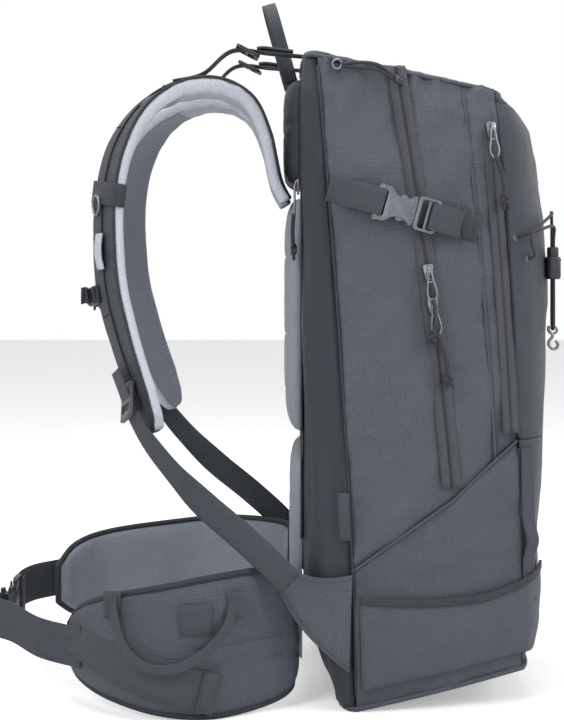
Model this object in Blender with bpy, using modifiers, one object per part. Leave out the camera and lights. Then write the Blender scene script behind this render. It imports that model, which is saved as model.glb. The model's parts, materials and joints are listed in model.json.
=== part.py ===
import math

import bmesh
import bpy
from mathutils import Matrix, Vector

# Metres. X runs across the pack, Y from the back panel towards the wearer, Z up.
# "left" is -X. Y is measured from the back panel, and BACK_TO_CENTRE moves that plane in the frame.
BODY_HEIGHT = 0.597
BODY_DEPTH = 0.234
BACK_WIDTH = 0.276
FRONT_WIDTH = 0.226
BACK_TO_CENTRE = -0.0245

FABRIC = 0.0025
GAP = 0.0005
SIDES = {"left": -1, "right": 1}

# Bag section
REAR_ROLL = 0.034
SIDE_BULGE = 0.005
BASE_RISE = 0.038
RIM_DROP = 0.034
TOP_DOME = 0.010
MAIN_ZIP_FOOT = 0.33
LID_HINGE = 0.40
LID_TOP = 0.985
ZIP_WIDTH = 0.018
ZIP_THICKNESS = 0.0012
POCKET_LIFT = 0.004
POCKET_THICKNESS = 0.002
SEAM_GAP = 0.0016

# Back system
SHEET_WIDTH = 0.200
SHEET_THICKNESS = 0.0015
PAD_WIDTH = 0.170
PAD_THICKNESS = 0.016
LUMBAR_THICKNESS = 0.011
YOKE_THICKNESS = 0.017

# Harness
STRAP_WIDTH = 0.062
STRAP_THICKNESS = 0.012
WEBBING = 0.025
WEBBING_THICKNESS = 0.0016
LIFTER_SPACING = 0.052
FIN_THICKNESS = 0.013
FIN_ROOT_X = 0.100
FIN_REACH = {"left": 0.216, "right": 0.250}
HIP_WEBBING = 0.038
HIP_BUCKLE_Y = 0.283
HIP_BUCKLE_Z = 0.066
STERNUM_WEBBING = 0.020
SIDE_STRAP_PITCH = math.radians(-15.5)

# Side-release buckles: sizes for one webbing width, scaled to the others
BUCKLE_LENGTH = 0.036
BUCKLE_THICKNESS = 0.009
BUCKLE_WALL = 0.0018
PLAY = 0.0004

NAVY = (0.020, 0.024, 0.034)
SLATE = (0.052, 0.060, 0.076)
PALE = (0.42, 0.44, 0.50)
BLACK = (0.012, 0.013, 0.016)
METAL = (0.33, 0.34, 0.37)


def clear_scene():
    for obj in list(bpy.data.objects):
        bpy.data.objects.remove(obj)


def make_material(name, colour, roughness, metallic=0.0):
    made = bpy.data.materials.new(name)
    made.use_nodes = True
    shader = made.node_tree.nodes["Principled BSDF"]
    shader.inputs["Base Color"].default_value = (*colour, 1)
    shader.inputs["Roughness"].default_value = roughness
    shader.inputs["Metallic"].default_value = metallic
    return made


def make_collection(name, hidden=False):
    made = bpy.data.collections.new(name)
    made.hide_render = hidden
    bpy.context.scene.collection.children.link(made)
    return made


clear_scene()
parts = make_collection("ski_backpack")
cutters = make_collection("cutters", hidden=True)
back_plane = bpy.data.objects.new("back_plane", None)
back_plane.location.y = BACK_TO_CENTRE
parts.objects.link(back_plane)

navy_cloth = make_material("navy_cloth", NAVY, 0.7)
slate_ripstop = make_material("slate_ripstop", SLATE, 0.75)
pale_lining = make_material("pale_lining", PALE, 0.85)
black_webbing = make_material("black_webbing", BLACK, 0.8)
black_plastic = make_material("black_plastic", BLACK, 0.4)
grey_buckle = make_material("grey_buckle", METAL, 0.35, 0.6)
steel = make_material("steel", METAL, 0.25, 1.0)


def place(name, data, material, location=(0, 0, 0), turn=None):
    obj = bpy.data.objects.new(name, data)
    obj.location = location
    if turn:
        obj.rotation_euler = turn
    obj.parent = back_plane
    data.materials.clear()
    data.materials.append(material)
    parts.objects.link(obj)
    return obj


def mesh_of(build):
    work = bmesh.new()
    build(work)
    bmesh.ops.recalc_face_normals(work, faces=work.faces)
    data = bpy.data.meshes.new("mesh")
    work.to_mesh(data)
    work.free()
    return data


def box_mesh(size, bevel=0.0, segments=2):
    def build(work):
        bmesh.ops.create_cube(work, size=1)
        bmesh.ops.scale(work, vec=size, verts=work.verts)
        if bevel:
            bmesh.ops.bevel(
                work, geom=work.edges, offset=bevel, segments=segments,
                profile=0.5, affect="EDGES", material=-1)

    return mesh_of(build)


# A loft of rows of points into one open surface.
def sheet_mesh(rows):
    def build(work):
        made = [[work.verts.new(point) for point in row] for row in rows]
        for low, high in zip(made, made[1:]):
            for corner in range(len(low) - 1):
                work.faces.new((low[corner], low[corner + 1], high[corner + 1], high[corner]))

    return mesh_of(build)


def thicken(obj, thickness, offset):
    modifier = obj.modifiers.new("thickness", "SOLIDIFY")
    modifier.thickness = thickness
    modifier.offset = offset
    modifier.use_even_offset = False
    return obj


# A flat band along points; "across" is its width direction, and a list of widths may replace one width.
def ribbon(name, points, across, width, thickness, material):
    widths = width if isinstance(width, list) else [width] * len(points)
    rows = []
    for index, point in enumerate(points):
        side = Vector(across[min(index, len(across) - 1)]).normalized() * widths[index] / 2
        rows.append([Vector(point) - side, Vector(point) + side])
    return thicken(place(name, sheet_mesh(rows), material), thickness, 0)


def tube(name, points, radius, material, closed=False, location=(0, 0, 0), turn=None):
    data = bpy.data.curves.new("path", "CURVE")
    data.dimensions = "3D"
    data.bevel_depth = radius
    data.bevel_resolution = 2
    data.use_fill_caps = True
    line = data.splines.new("POLY")
    line.points.add(len(points) - 1)
    line.use_cyclic_u = closed
    for target, point in zip(line.points, points):
        target.co = (*point, 1)
    return place(name, data, material, location, turn)


def outline(name, shapes, thickness, material, location=(0, 0, 0), turn=None):
    data = bpy.data.curves.new("outline", "CURVE")
    data.dimensions = "2D"
    data.fill_mode = "BOTH"
    data.extrude = thickness / 2
    for shape in shapes:
        line = data.splines.new("POLY")
        line.points.add(len(shape) - 1)
        line.use_cyclic_u = True
        for target, (x, y) in zip(line.points, shape):
            target.co = (x, y, 0, 1)
    return place(name, data, material, location, turn)


# The same object as a plain mesh, so that it can be cut or joined.
def as_mesh(obj):
    bpy.context.view_layer.update()
    graph = bpy.context.evaluated_depsgraph_get()
    data = bpy.data.meshes.new_from_object(obj.evaluated_get(graph))
    work = bmesh.new()
    work.from_mesh(data)
    bmesh.ops.remove_doubles(work, verts=work.verts, dist=1e-6)
    bmesh.ops.recalc_face_normals(work, faces=work.faces)
    work.to_mesh(data)
    work.free()
    name = obj.name
    made = bpy.data.objects.new("made", data)
    made.parent = back_plane
    made.matrix_local = obj.matrix_local
    parts.objects.link(made)
    bpy.data.objects.remove(obj)
    made.name = name
    return made


def combine(obj, tool, operation):
    parts.objects.unlink(tool)
    cutters.objects.link(tool)
    tool.hide_render = True
    tool.display_type = "WIRE"
    modifier = obj.modifiers.new(operation.lower(), "BOOLEAN")
    modifier.operation = operation
    modifier.object = tool
    modifier.solver = "EXACT"
    return obj


def smooth_path(points, per_span):
    path = [Vector(point) for point in points]
    ends = [path[0] * 2 - path[1], *path, path[-1] * 2 - path[-2]]
    found = []
    for index in range(len(path) - 1):
        a, b, c, d = ends[index:index + 4]
        for step in range(per_span):
            t = step / per_span
            found.append(0.5 * (
                b * 2 + (c - a) * t + (a * 2 - b * 5 + c * 4 - d) * t * t
                + (b * 3 - a - c * 3 + d) * t ** 3))
    found.append(path[-1])
    return found


def blend(a, b, t):
    return a + (b - a) * t


def between(value, table):
    for (v0, y0), (v1, y1) in zip(table, table[1:]):
        if value <= v1:
            return blend(y0, y1, max(0.0, (value - v0) / (v1 - v0)))
    return table[-1][1]


# ---- The bag: u runs 0 back centre, 1 rear seam, 2 main zip, 3 lid zip, 4 front centre; v runs up ----

BACK_LINE = [(0, -0.032), (0.04, -0.024), (0.10, -0.010), (0.18, -0.001), (0.25, 0), (1, 0)]
FRONT_SHARE = [
    (0, 0.893), (0.03, 0.918), (0.07, 0.940), (0.28, 0.970), (0.45, 0.987), (0.64, 1.0),
    (0.80, 0.987), (0.90, 0.955), (0.95, 0.925), (0.98, 0.885), (1, 0.80),
]
TAPER = [(0, 0.965), (0.04, 0.985), (0.15, 1), (0.85, 1), (0.95, 0.985), (1, 0.94)]


def base_z(y):
    return FABRIC + GAP + BASE_RISE * max(0.0, -y - 0.047) / (BODY_DEPTH - 0.047)


def rim_z(y):
    return BODY_HEIGHT - TOP_DOME - RIM_DROP * max(0.0, -y) / (BODY_DEPTH * 0.8)


def seam_y(v):
    return -0.047 + 0.035 * v ** 1.5


def main_zip_y(v):
    return -BODY_DEPTH * (0.624 - 0.128 * v - 0.141 * v * v)


def lid_zip_y(v):
    return -BODY_DEPTH * (0.850 - 0.106 * v * v)


def half_width(y, v):
    t = (seam_y(v) - y) / (seam_y(v) - lid_zip_y(v))
    flat = blend(BACK_WIDTH, FRONT_WIDTH, t) / 2
    return flat * between(v, TAPER) + SIDE_BULGE * math.sin(math.pi * min(max(t, 0), 1))


def bag_point(u, v, side=1):
    seam = seam_y(v)
    back = between(v, BACK_LINE)
    if u <= 0.6:
        x = (half_width(seam, v) - REAR_ROLL) * u / 0.6
        y = back
    elif u <= 1:
        turn = math.pi / 2 * (u - 0.6) / 0.4
        x = half_width(seam, v) - REAR_ROLL * (1 - math.sin(turn))
        y = seam + (back - seam) * math.cos(turn)
    elif u <= 3:
        zip_y = main_zip_y(v)
        y = blend(seam, zip_y, u - 1) if u <= 2 else blend(zip_y, lid_zip_y(v), u - 2)
        x = half_width(y, v)
    else:
        turn = math.pi / 2 * (u - 3)
        front = -BODY_DEPTH * between(v, FRONT_SHARE)
        x = half_width(lid_zip_y(v), v) * math.cos(turn) ** 0.85
        y = lid_zip_y(v) + (front - lid_zip_y(v)) * math.sin(turn)
    return Vector((side * x, y, blend(base_z(y), rim_z(y), v)))


def bag_normal(u, v, side=1):
    step = 0.01
    along = bag_point(u + step, v, side) - bag_point(u - step, v, side)
    up = bag_point(u, v + step, side) - bag_point(u, v - step, side)
    return side * up.cross(along).normalized()


# u and v of the wall at a given Y and Z, on the flat of the side.
def side_v(y, z):
    return (z - base_z(y)) / (rim_z(y) - base_z(y))


def side_x(y, z):
    return half_width(y, side_v(y, z))


def spread(low, high, count):
    return [blend(low, high, index / count) for index in range(count + 1)]


def wall(name, across, bottom, top, rows, material, lift=0.0, thickness=FABRIC, side=1):
    grid = []
    for row in range(rows + 1):
        line = []
        for u in across:
            v = blend(bottom(abs(u)), top(abs(u)), row / rows)
            hand = side if u >= 0 else -side
            point = bag_point(abs(u), v, hand)
            if lift:
                point += bag_normal(abs(u), v, hand) * lift
            line.append(point)
        grid.append(line)
    obj = place(name, sheet_mesh(grid), material)
    # The loft's own side is not known, so the thickness is set by where its normal points.
    centre = Vector((0, -BODY_DEPTH / 2, grid[0][0].z))
    face = obj.data.polygons[len(obj.data.polygons) // 2]
    outward = face.normal.dot(face.center - centre) > 0
    return thicken(obj, thickness, -1 if outward else 1)


def diagonal(u):
    return blend(0.215, LID_HINGE, min(max(u - 1, 0), 2) / 2)


SEAM_GAP = 0.0016


def pocket_hem(u):
    sag = math.sin(math.pi * (u - 1) / 2.5)
    return 0.172 - 0.03 * sag


def make_bag():
    hair = SEAM_GAP / BODY_HEIGHT
    back = [0.3, 0.6, 0.7, 0.8, 0.9, 0.985]
    side_run = [1.015, 1.33, 1.66, 2, 2.33, 2.66, 2.98]
    front = [3.03, 3.15, 3.3, 3.45, 3.6, 3.8]
    full_back = [-u for u in reversed(back)] + [0] + back
    full_front = [-u for u in front] + [4] + list(reversed(front))
    wall("back_panel", full_back, lambda u: 0, lambda u: 1, 14, navy_cloth)
    for name, side in SIDES.items():
        wall(f"side_panel_{name}", side_run, lambda u: diagonal(u) + hair, lambda u: 1, 12,
             slate_ripstop, side=side)
        wall(f"side_lower_{name}", side_run, lambda u: 0, lambda u: diagonal(u) - hair, 6,
             slate_ripstop, side=side)
        wall(f"side_pocket_{name}", [1.05, 1.5, 2, 2.5, 2.95, 3.2, 3.45], lambda u: 0.03, pocket_hem, 4,
             slate_ripstop, lift=POCKET_LIFT, thickness=POCKET_THICKNESS, side=side)
    fold = hair / 6
    wall("front_lower_panel", full_front, lambda u: 0, lambda u: LID_HINGE - fold, 6, navy_cloth)
    wall("front_lid", full_front, lambda u: LID_HINGE + fold, lambda u: LID_TOP, 12, navy_cloth)


# A plate across the bag that closes its ring of walls at v, with each row from side to side.
def cap(name, v, level, dome, material, up):
    rim = [bag_point(u, v) for u in (0.6, 0.8, 1, 1.5, 2, 2.5, 3, 3.2, 3.4, 3.6, 3.8)]
    first = rim[0].y
    last = rim[-1].y
    rows = []
    for point in rim:
        swell = dome * math.sin(math.pi * (first - point.y) / (first - last)) ** 0.5 if dome else 0
        rows.append([
            Vector((x, point.y, level(point.y) + swell * (1 - (x / point.x) ** 2)))
            for x in spread(-point.x, point.x, 8)])
    plate = place(name, sheet_mesh(rows), material)
    faces_up = plate.data.polygons[0].normal.z > 0
    return thicken(plate, FABRIC, 1 if faces_up == up else -1)


TOP_BACK = between(1, BACK_LINE)
TOP_FRONT = bag_point(3.8, 1).y


def make_caps():
    cap("top_panel", 1, lambda y: rim_z(y) + GAP, TOP_DOME, slate_ripstop, up=True)
    cap("bottom_panel", 0, lambda y: base_z(y) - GAP, 0, slate_ripstop, up=False)


def top_z(x, y):
    swell = TOP_DOME * math.sin(math.pi * (y - TOP_BACK) / (TOP_FRONT - TOP_BACK)) ** 0.5
    share = x / half_width(y, 1)
    return rim_z(y) + GAP + FABRIC + swell * (1 - share * share)


# One tape that runs up the left side, over the top and down the right side.
def make_main_zip():
    lift = GAP + ZIP_THICKNESS / 2
    half = ZIP_WIDTH / 2
    rise = []
    for v in spread(MAIN_ZIP_FOOT, 0.985, 18):
        width = (main_zip_y(v) - lid_zip_y(v))
        step = half / width
        pair = []
        for u in (2 - step, 2 + step):
            pair.append(bag_point(u, v) + bag_normal(u, v) * (lift + 0.0003))
        rise.append(pair)
    middle = main_zip_y(1)
    edge = half_width(middle, 1)
    rise.append([Vector((half_width(middle + y, 1) + 0.0026, middle + y, rim_z(middle + y) + 0.0042))
                 for y in (half, -half)])
    for share in (0.97, 0.85, 0.6, 0.3):
        x = edge * share
        z = top_z(x, middle) + lift + 0.0012
        rise.append([Vector((x, middle + half, z + 0.0008)), Vector((x, middle - half, z - 0.0008))])
    crest = top_z(0, middle) + lift + 0.0012
    top = [[Vector((0, middle + half, crest + 0.0008)), Vector((0, middle - half, crest - 0.0008))]]
    fall = [[Vector((-a.x, a.y, a.z)) for a in pair] for pair in reversed(rise)]
    thicken(place("main_zip", sheet_mesh(rise + top + fall), black_webbing), ZIP_THICKNESS, 0)


YOKE_SIZE = (0.180, 0.100)
YOKE_Z = 0.522
PAD_HEIGHT = 0.225
PAD_Z = 0.352
LUMBAR_HEIGHT = 0.190
LUMBAR_Z = 0.128
SHEET_SHARE = 0.62  # of the body's height


def make_back_system():
    sheet_y = -FABRIC - GAP - SHEET_THICKNESS / 2
    height = BODY_HEIGHT * SHEET_SHARE
    place("frame_sheet", box_mesh((SHEET_WIDTH, SHEET_THICKNESS, height)), black_plastic,
          (0, sheet_y, BODY_HEIGHT * 0.60))
    place("back_pad", box_mesh((PAD_WIDTH, PAD_THICKNESS, PAD_HEIGHT), 0.006, 2), pale_lining,
          (0, PAD_THICKNESS / 2 + GAP, PAD_Z))
    place("lumbar_pad", box_mesh((2 * FIN_ROOT_X, LUMBAR_THICKNESS, LUMBAR_HEIGHT), 0.004, 2),
          pale_lining, (0, LUMBAR_THICKNESS / 2 + GAP, LUMBAR_Z))
    place("shoulder_yoke", box_mesh((YOKE_SIZE[0], YOKE_THICKNESS, YOKE_SIZE[1]), 0.006, 2),
          navy_cloth, (0, YOKE_THICKNESS / 2 + GAP, YOKE_Z))


STRAP_PATH = [
    (0.056, 0.0241, 0.478), (0.057, 0.0335, 0.520), (0.059, 0.050, 0.552), (0.063, 0.080, 0.567),
    (0.068, 0.115, 0.563), (0.074, 0.147, 0.543), (0.080, 0.170, 0.508), (0.084, 0.180, 0.465),
    (0.088, 0.181, 0.420), (0.092, 0.177, 0.375), (0.098, 0.165, 0.330), (0.106, 0.149, 0.285),
    (0.114, 0.133, 0.247),
]
STRAP_TILT = [(0, 0), (0.3, 4), (0.5, 24), (0.75, 28), (1, 26)]


def mirrored(point, side):
    return Vector((side * point[0], point[1], point[2]))


def strap_middle(share):
    place_on = min(max(share, 0), 1) * (len(STRAP_PATH) - 1)
    index = min(int(place_on), len(STRAP_PATH) - 2)
    return Vector(STRAP_PATH[index]).lerp(Vector(STRAP_PATH[index + 1]), place_on - index)


# Middle of the right strap, and its directions: down its length, to its outer edge, off its outer face.
def strap_frame(share):
    step = 0.5 / (len(STRAP_PATH) - 1)
    along = (strap_middle(share + step) - strap_middle(share - step)).normalized()
    tilt = math.radians(between(share, STRAP_TILT))
    across = Vector((math.cos(tilt), -math.sin(tilt), 0))
    across = (across - along * across.dot(along)).normalized()
    return strap_middle(share), along, across, across.cross(along).normalized()


def strap_half_width(share):
    return STRAP_WIDTH / 2 * between(share, [(0, 0.85), (0.15, 1), (0.8, 1), (0.94, 0.86), (1, 0.45)])


def make_straps():
    count = 2 * (len(STRAP_PATH) - 1)
    for name, side in SIDES.items():
        rows = []
        for share in spread(0, 1, count):
            middle, _, across, out = strap_frame(share)
            half = strap_half_width(share)
            rows.append([mirrored(middle + across * half * t - out * 0.0025 * t * t, side)
                         for t in (-1, -0.5, 0, 0.5, 1)])
        thicken(place(f"shoulder_strap_{name}", sheet_mesh(rows), navy_cloth), STRAP_THICKNESS, 0)


def frame_plate(name, width, length, material, thickness=0.003, window=0.55):
    half_w = width / 2
    rail = 0.0035
    outer = [(-length / 2, -half_w - rail), (length / 2, -half_w - rail + 0.001),
             (length / 2, half_w + rail - 0.001), (-length / 2, half_w + rail)]
    hole_l = length * window / 2
    hole = [(-hole_l, -half_w - PLAY), (hole_l, -half_w - PLAY), (hole_l, half_w + PLAY),
            (-hole_l, half_w + PLAY)]
    return outline(name, [outer, hole], thickness, material)


# Turns local X to "along" and local Z to "out".
def aim(obj, location, along, out):
    x = Vector(along).normalized()
    z = Vector(out)
    z = (z - x * z.dot(x)).normalized()
    y = z.cross(x)
    turn = Matrix((x, y, z)).transposed()
    obj.rotation_euler = turn.to_euler()
    obj.location = location
    return obj


PLATE_TILT = math.radians(24)


def tilted(along, out):
    along = Vector(along).normalized()
    out = Vector(out)
    out = (out - along * out.dot(along)).normalized()
    return (along * math.cos(PLATE_TILT) + out * math.sin(PLATE_TILT),
            out * math.cos(PLATE_TILT) - along * math.sin(PLATE_TILT))


def make_lifters():
    for name, side in SIDES.items():
        top = 0.28
        middle, along, across, out = strap_frame(top)
        landing = middle + out * (STRAP_THICKNESS / 2 + WEBBING_THICKNESS / 2 + 4 * GAP)
        further, _, _, further_out = strap_frame(top + 0.06)
        second = further + further_out * (STRAP_THICKNESS / 2 + WEBBING_THICKNESS / 2 + 2 * GAP)
        pack_z = rim_z(-0.02) + FABRIC + 2 * GAP + WEBBING_THICKNESS / 2 + 0.004
        points = [
            (LIFTER_SPACING, -0.045, rim_z(-0.045) + FABRIC + 2 * GAP + TOP_DOME * 0.9),
            (LIFTER_SPACING, -0.006, pack_z + 0.003), (LIFTER_SPACING + 0.002, 0.030, pack_z + 0.006),
            (LIFTER_SPACING + 0.005, 0.066, pack_z + 0.008), (landing.x, landing.y, landing.z + 0.001),
            tuple(second)]
        path = [mirrored(point, side) for point in points]
        ribbon(f"lifter_webbing_{name}", path, [(1, 0, 0)], WEBBING * 0.8, WEBBING_THICKNESS, black_webbing)
        run = path[3] - path[2]
        lean, face = tilted(run, (0, 0, 1))
        aim(frame_plate(f"lifter_buckle_{name}", WEBBING * 0.8, 0.024, black_plastic),
            path[2].lerp(path[3], 0.6), lean, face)


WING_X = BACK_WIDTH / 2 + 0.0014
WING_HEIGHT = 0.086


# Each lower webbing ends in the triangular wing that is sewn into the bag's side seam.
def make_lower_straps():
    for name, side in SIDES.items():
        middle, along, across, out = strap_frame(0.93)
        seat = middle + out * (STRAP_THICKNESS / 2 + 0.0085)
        points = [seat - along * 0.030, seat - along * 0.012, seat + along * 0.014,
                  Vector((0.122, 0.136, 0.236)), Vector((0.128, 0.112, 0.208)),
                  Vector((0.133, 0.086, 0.183)), Vector((0.137, 0.057, 0.159)),
                  Vector((0.1405, 0.029, 0.134)), Vector((WING_X, 0.002, 0.108)),
                  Vector((WING_X, -0.042, 0.080))]
        turns = [across, across, across, across * 0.8 + Vector((0, -0.15, 0.3)),
                 Vector((0.45, -0.35, 0.6)), Vector((0.15, -0.6, 0.75)), Vector((0.03, -0.66, 0.75)),
                 Vector((0, -0.66, 0.75)), Vector((0, -0.66, 0.75)), Vector((0, -0.03, 1))]
        path = smooth_path([mirrored(p, side) for p in points], 2)
        across_all = smooth_path([mirrored(t, side) for t in turns], 2)
        widths = [WEBBING] * (len(path) - 2) + [WEBBING * 1.9, WING_HEIGHT]
        ribbon(f"lower_strap_{name}", path, across_all, widths, WEBBING_THICKNESS, black_webbing)
        lean, face = tilted(mirrored(along, side), mirrored(out, side))
        aim(frame_plate(f"strap_adjuster_{name}", WEBBING, 0.034, black_plastic),
            mirrored(seat, side), lean, face)


def make_hip_belt():
    for name, side in SIDES.items():
        reach = FIN_REACH[name]
        path = [(FIN_ROOT_X + 2 * GAP, 0.0100), (0.117, 0.0125), (0.130, 0.038), (0.154, 0.082), (0.154, 0.128),
                (0.128, reach * 0.80), (0.098, reach * 0.935), (0.076, reach)]
        levels = [(0.030, 0.110), (0.016, 0.122), (0.006, 0.126), (0.003, 0.124), (0.006, 0.115),
                  (0.012, 0.102), (0.020, 0.086), (0.034, 0.066)]
        if name == "right":
            levels = levels[:4] + [(0.012, 0.120), (0.022, 0.114), (0.034, 0.106), (0.050, 0.088)]
        line = smooth_path([(x, y, 0) for x, y in path], 2)
        heights = smooth_path([(low, high, 0) for low, high in levels], 2)
        rows = []
        for point, (low, high, _) in zip(line, heights):
            rows.append([Vector((side * point.x, point.y, z)) for z in spread(low, high, 4)])
        thicken(place(f"hip_fin_{name}", sheet_mesh(rows), slate_ripstop), FIN_THICKNESS, 0)


def buckle_female(name, width, material):
    half = width / 2
    length = BUCKLE_LENGTH * width / WEBBING
    shape = [(-length * 0.5, -half - 0.003), (-length * 0.18, -half - 0.003), (length * 0.08, -half * 0.78),
             (length * 0.34, -half * 0.80), (length * 0.5, -half - 0.001), (length * 0.5, half + 0.001),
             (length * 0.34, half * 0.80), (length * 0.08, half * 0.78), (-length * 0.18, half + 0.003),
             (-length * 0.5, half + 0.003)]
    slot_x = -length * 0.34
    slot = [(slot_x - 0.0025, -half - PLAY), (slot_x + 0.0025, -half - PLAY),
            (slot_x + 0.0025, half + PLAY), (slot_x - 0.0025, half + PLAY)]
    body = as_mesh(outline(name, [shape, slot], BUCKLE_THICKNESS, material))
    inner = BUCKLE_THICKNESS - 2 * BUCKLE_WALL
    depth = length * 0.62
    cavity = place(name + "_cavity", box_mesh((depth, width * 1.3, inner)), material,
                   (length * 0.5 - depth / 2 + 0.001, 0, 0))
    return combine(body, cavity, "DIFFERENCE")


MALE_TAIL = 0.022


def buckle_male(name, width, material):
    half = width / 2
    length = BUCKLE_LENGTH * width / WEBBING
    tongue = length * 0.46
    thick = BUCKLE_THICKNESS - 2 * BUCKLE_WALL - 2 * PLAY
    tail = MALE_TAIL
    arm_out = half * 0.98
    arm_in = half * 0.62
    shape = [(-tongue, -arm_out), (-tongue, -arm_in), (-0.004, -arm_in), (-0.004, -half * 0.18),
             (-tongue * 0.8, -half * 0.14), (-tongue * 0.8, half * 0.14), (-0.004, half * 0.18),
             (-0.004, arm_in), (-tongue, arm_in), (-tongue, arm_out), (-tongue * 0.5, arm_out * 0.80),
             (0.0008, half * 0.82), (0.0008, half + 0.003), (tail, half + 0.003), (tail, -half - 0.003),
             (0.0008, -half - 0.003), (0.0008, -half * 0.82), (-tongue * 0.5, -arm_out * 0.80)]
    window = [(0.0055, -half - PLAY), (tail - 0.004, -half - PLAY), (tail - 0.004, half + PLAY),
              (0.0055, half + PLAY)]
    return outline(name, [shape, window], thick, material)


# A ribbon end that turns round the bar of a buckle: local X and Z of its middle line.
def loop_round(bar_from, bar_to, half_thickness, reach, sign):
    lift = half_thickness + WEBBING_THICKNESS / 2 + PLAY
    inner = bar_from if sign > 0 else bar_to
    slot = inner - sign * 0.0025
    far = (bar_to if sign > 0 else bar_from) + sign * reach
    return [(far, lift), (slot + sign * 0.0012, lift), (slot, lift - 0.0016), (slot, -lift + 0.0016),
            (slot + sign * 0.0012, -lift), (far - sign * reach * 0.35, -lift)]


def local_frame(location, along, out):
    x = Vector(along).normalized()
    z = Vector(out)
    z = (z - x * z.dot(x)).normalized()
    y = z.cross(x)
    frame = Matrix((x, y, z)).transposed().to_4x4()
    frame.translation = location
    return frame


def looped_webbing(name, frame, local, tail, width, material, tail_across=None):
    path = [frame @ Vector((x, 0, z)) for x, z in reversed(local)] + [Vector(point) for point in tail]
    y = frame.to_3x3() @ Vector((0, 1, 0))
    turns = [y] * len(local) + [Vector(turn) for turn in (tail_across or [y] * len(tail))]
    return ribbon(name, path, turns, width - 2 * PLAY, WEBBING_THICKNESS, material)


def set_frame(obj, frame):
    bpy.context.view_layer.update()
    obj.matrix_local = frame @ obj.matrix_local
    return obj


# Both halves of a side-release buckle, at "frame": local X points from the female to the male half.
def make_buckle(female_name, male_name, width, frame, material):
    length = BUCKLE_LENGTH * width / WEBBING
    set_frame(buckle_male(male_name, width, material), frame)
    female = buckle_female(female_name, width, material)
    cavity = female.modifiers[0].object
    shift = Matrix.Translation((-length / 2 - PLAY, 0, 0))
    set_frame(female, frame @ shift)
    set_frame(cavity, frame @ shift)
    bar = -length * 0.5 - length / 2 - PLAY
    female_loop = loop_round(bar, bar + length * 0.16 - 0.0025, BUCKLE_THICKNESS / 2, 0.012, -1)
    male_half = BUCKLE_THICKNESS / 2 - BUCKLE_WALL - PLAY
    male_loop = loop_round(MALE_TAIL - 0.004, MALE_TAIL, male_half, 0.012, 1)
    return female_loop, male_loop


def make_hip_webbing():
    frame = local_frame((0.014, HIP_BUCKLE_Y, HIP_BUCKLE_Z), (1, 0, 0), (0, 1, 0))
    female_loop, male_loop = make_buckle("hip_buckle_female", "hip_buckle_male", HIP_WEBBING, frame,
                                         black_plastic)
    left_reach = FIN_REACH["left"]
    skin = FIN_THICKNESS / 2 + WEBBING_THICKNESS + PLAY
    left = [(-0.064, HIP_BUCKLE_Y - 0.012, 0.063), (-0.080, left_reach + 0.030, 0.054),
            (-0.092, left_reach + 0.0035, 0.050), (-0.110, left_reach - 0.0145, 0.052)]
    looped_webbing("hip_webbing_left", frame, female_loop, left, HIP_WEBBING, black_webbing,
                   [(0, 0, -1)] * 4)
    right_reach = FIN_REACH["right"]
    right = [(0.068, HIP_BUCKLE_Y + 0.0015, 0.067), (0.084, right_reach + skin + 0.016, 0.069),
             (0.100, right_reach + skin - 0.003, 0.070), (0.116, right_reach - 0.010, 0.070)]
    looped_webbing("hip_webbing_right", frame, male_loop, right, HIP_WEBBING, black_webbing,
                   [(0, 0, -1)] * 4)


SLIDER_SIZE = (0.024, 0.016, 0.007)


def make_sternum():
    share = 0.752
    middle, along, across, out = strap_frame(share)
    seat = middle - across * 0.017 + out * (STRAP_THICKNESS / 2 + SLIDER_SIZE[2] / 2 + GAP / 2)
    front = seat.y + abs(across.y) * SLIDER_SIZE[0] / 2 + out.y * SLIDER_SIZE[2] / 2
    webbing_y = front + 2 * GAP + WEBBING_THICKNESS / 2
    half = BUCKLE_THICKNESS / 2 + WEBBING_THICKNESS / 2 + PLAY
    frame = local_frame((0.006, webbing_y - half, seat.z - 0.004), (1, 0, 0), (0, 1, 0))
    female_loop, male_loop = make_buckle("sternum_buckle_female", "sternum_buckle_male", STERNUM_WEBBING,
                                         frame, black_plastic)
    for name, side in SIDES.items():
        slider = place(f"sternum_slider_{name}", box_mesh(SLIDER_SIZE, 0.0015, 1), black_plastic)
        aim(slider, mirrored(seat, side), mirrored(across, side), mirrored(out, side))
        loop = male_loop if side > 0 else female_loop
        tail = [(side * 0.060, webbing_y, seat.z), (side * (abs(seat.x) + 0.010), webbing_y, seat.z)]
        looped_webbing(f"sternum_webbing_{name}", frame, loop, tail, STERNUM_WEBBING, black_webbing,
                       [(0, 0, -1)] * 2)


SIDE_BUCKLE_Y = -0.0985
SIDE_STRAP_REAR = (-0.022, 0.467)
SIDE_STRAP_FRONT = (-0.158, 0.430)


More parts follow.
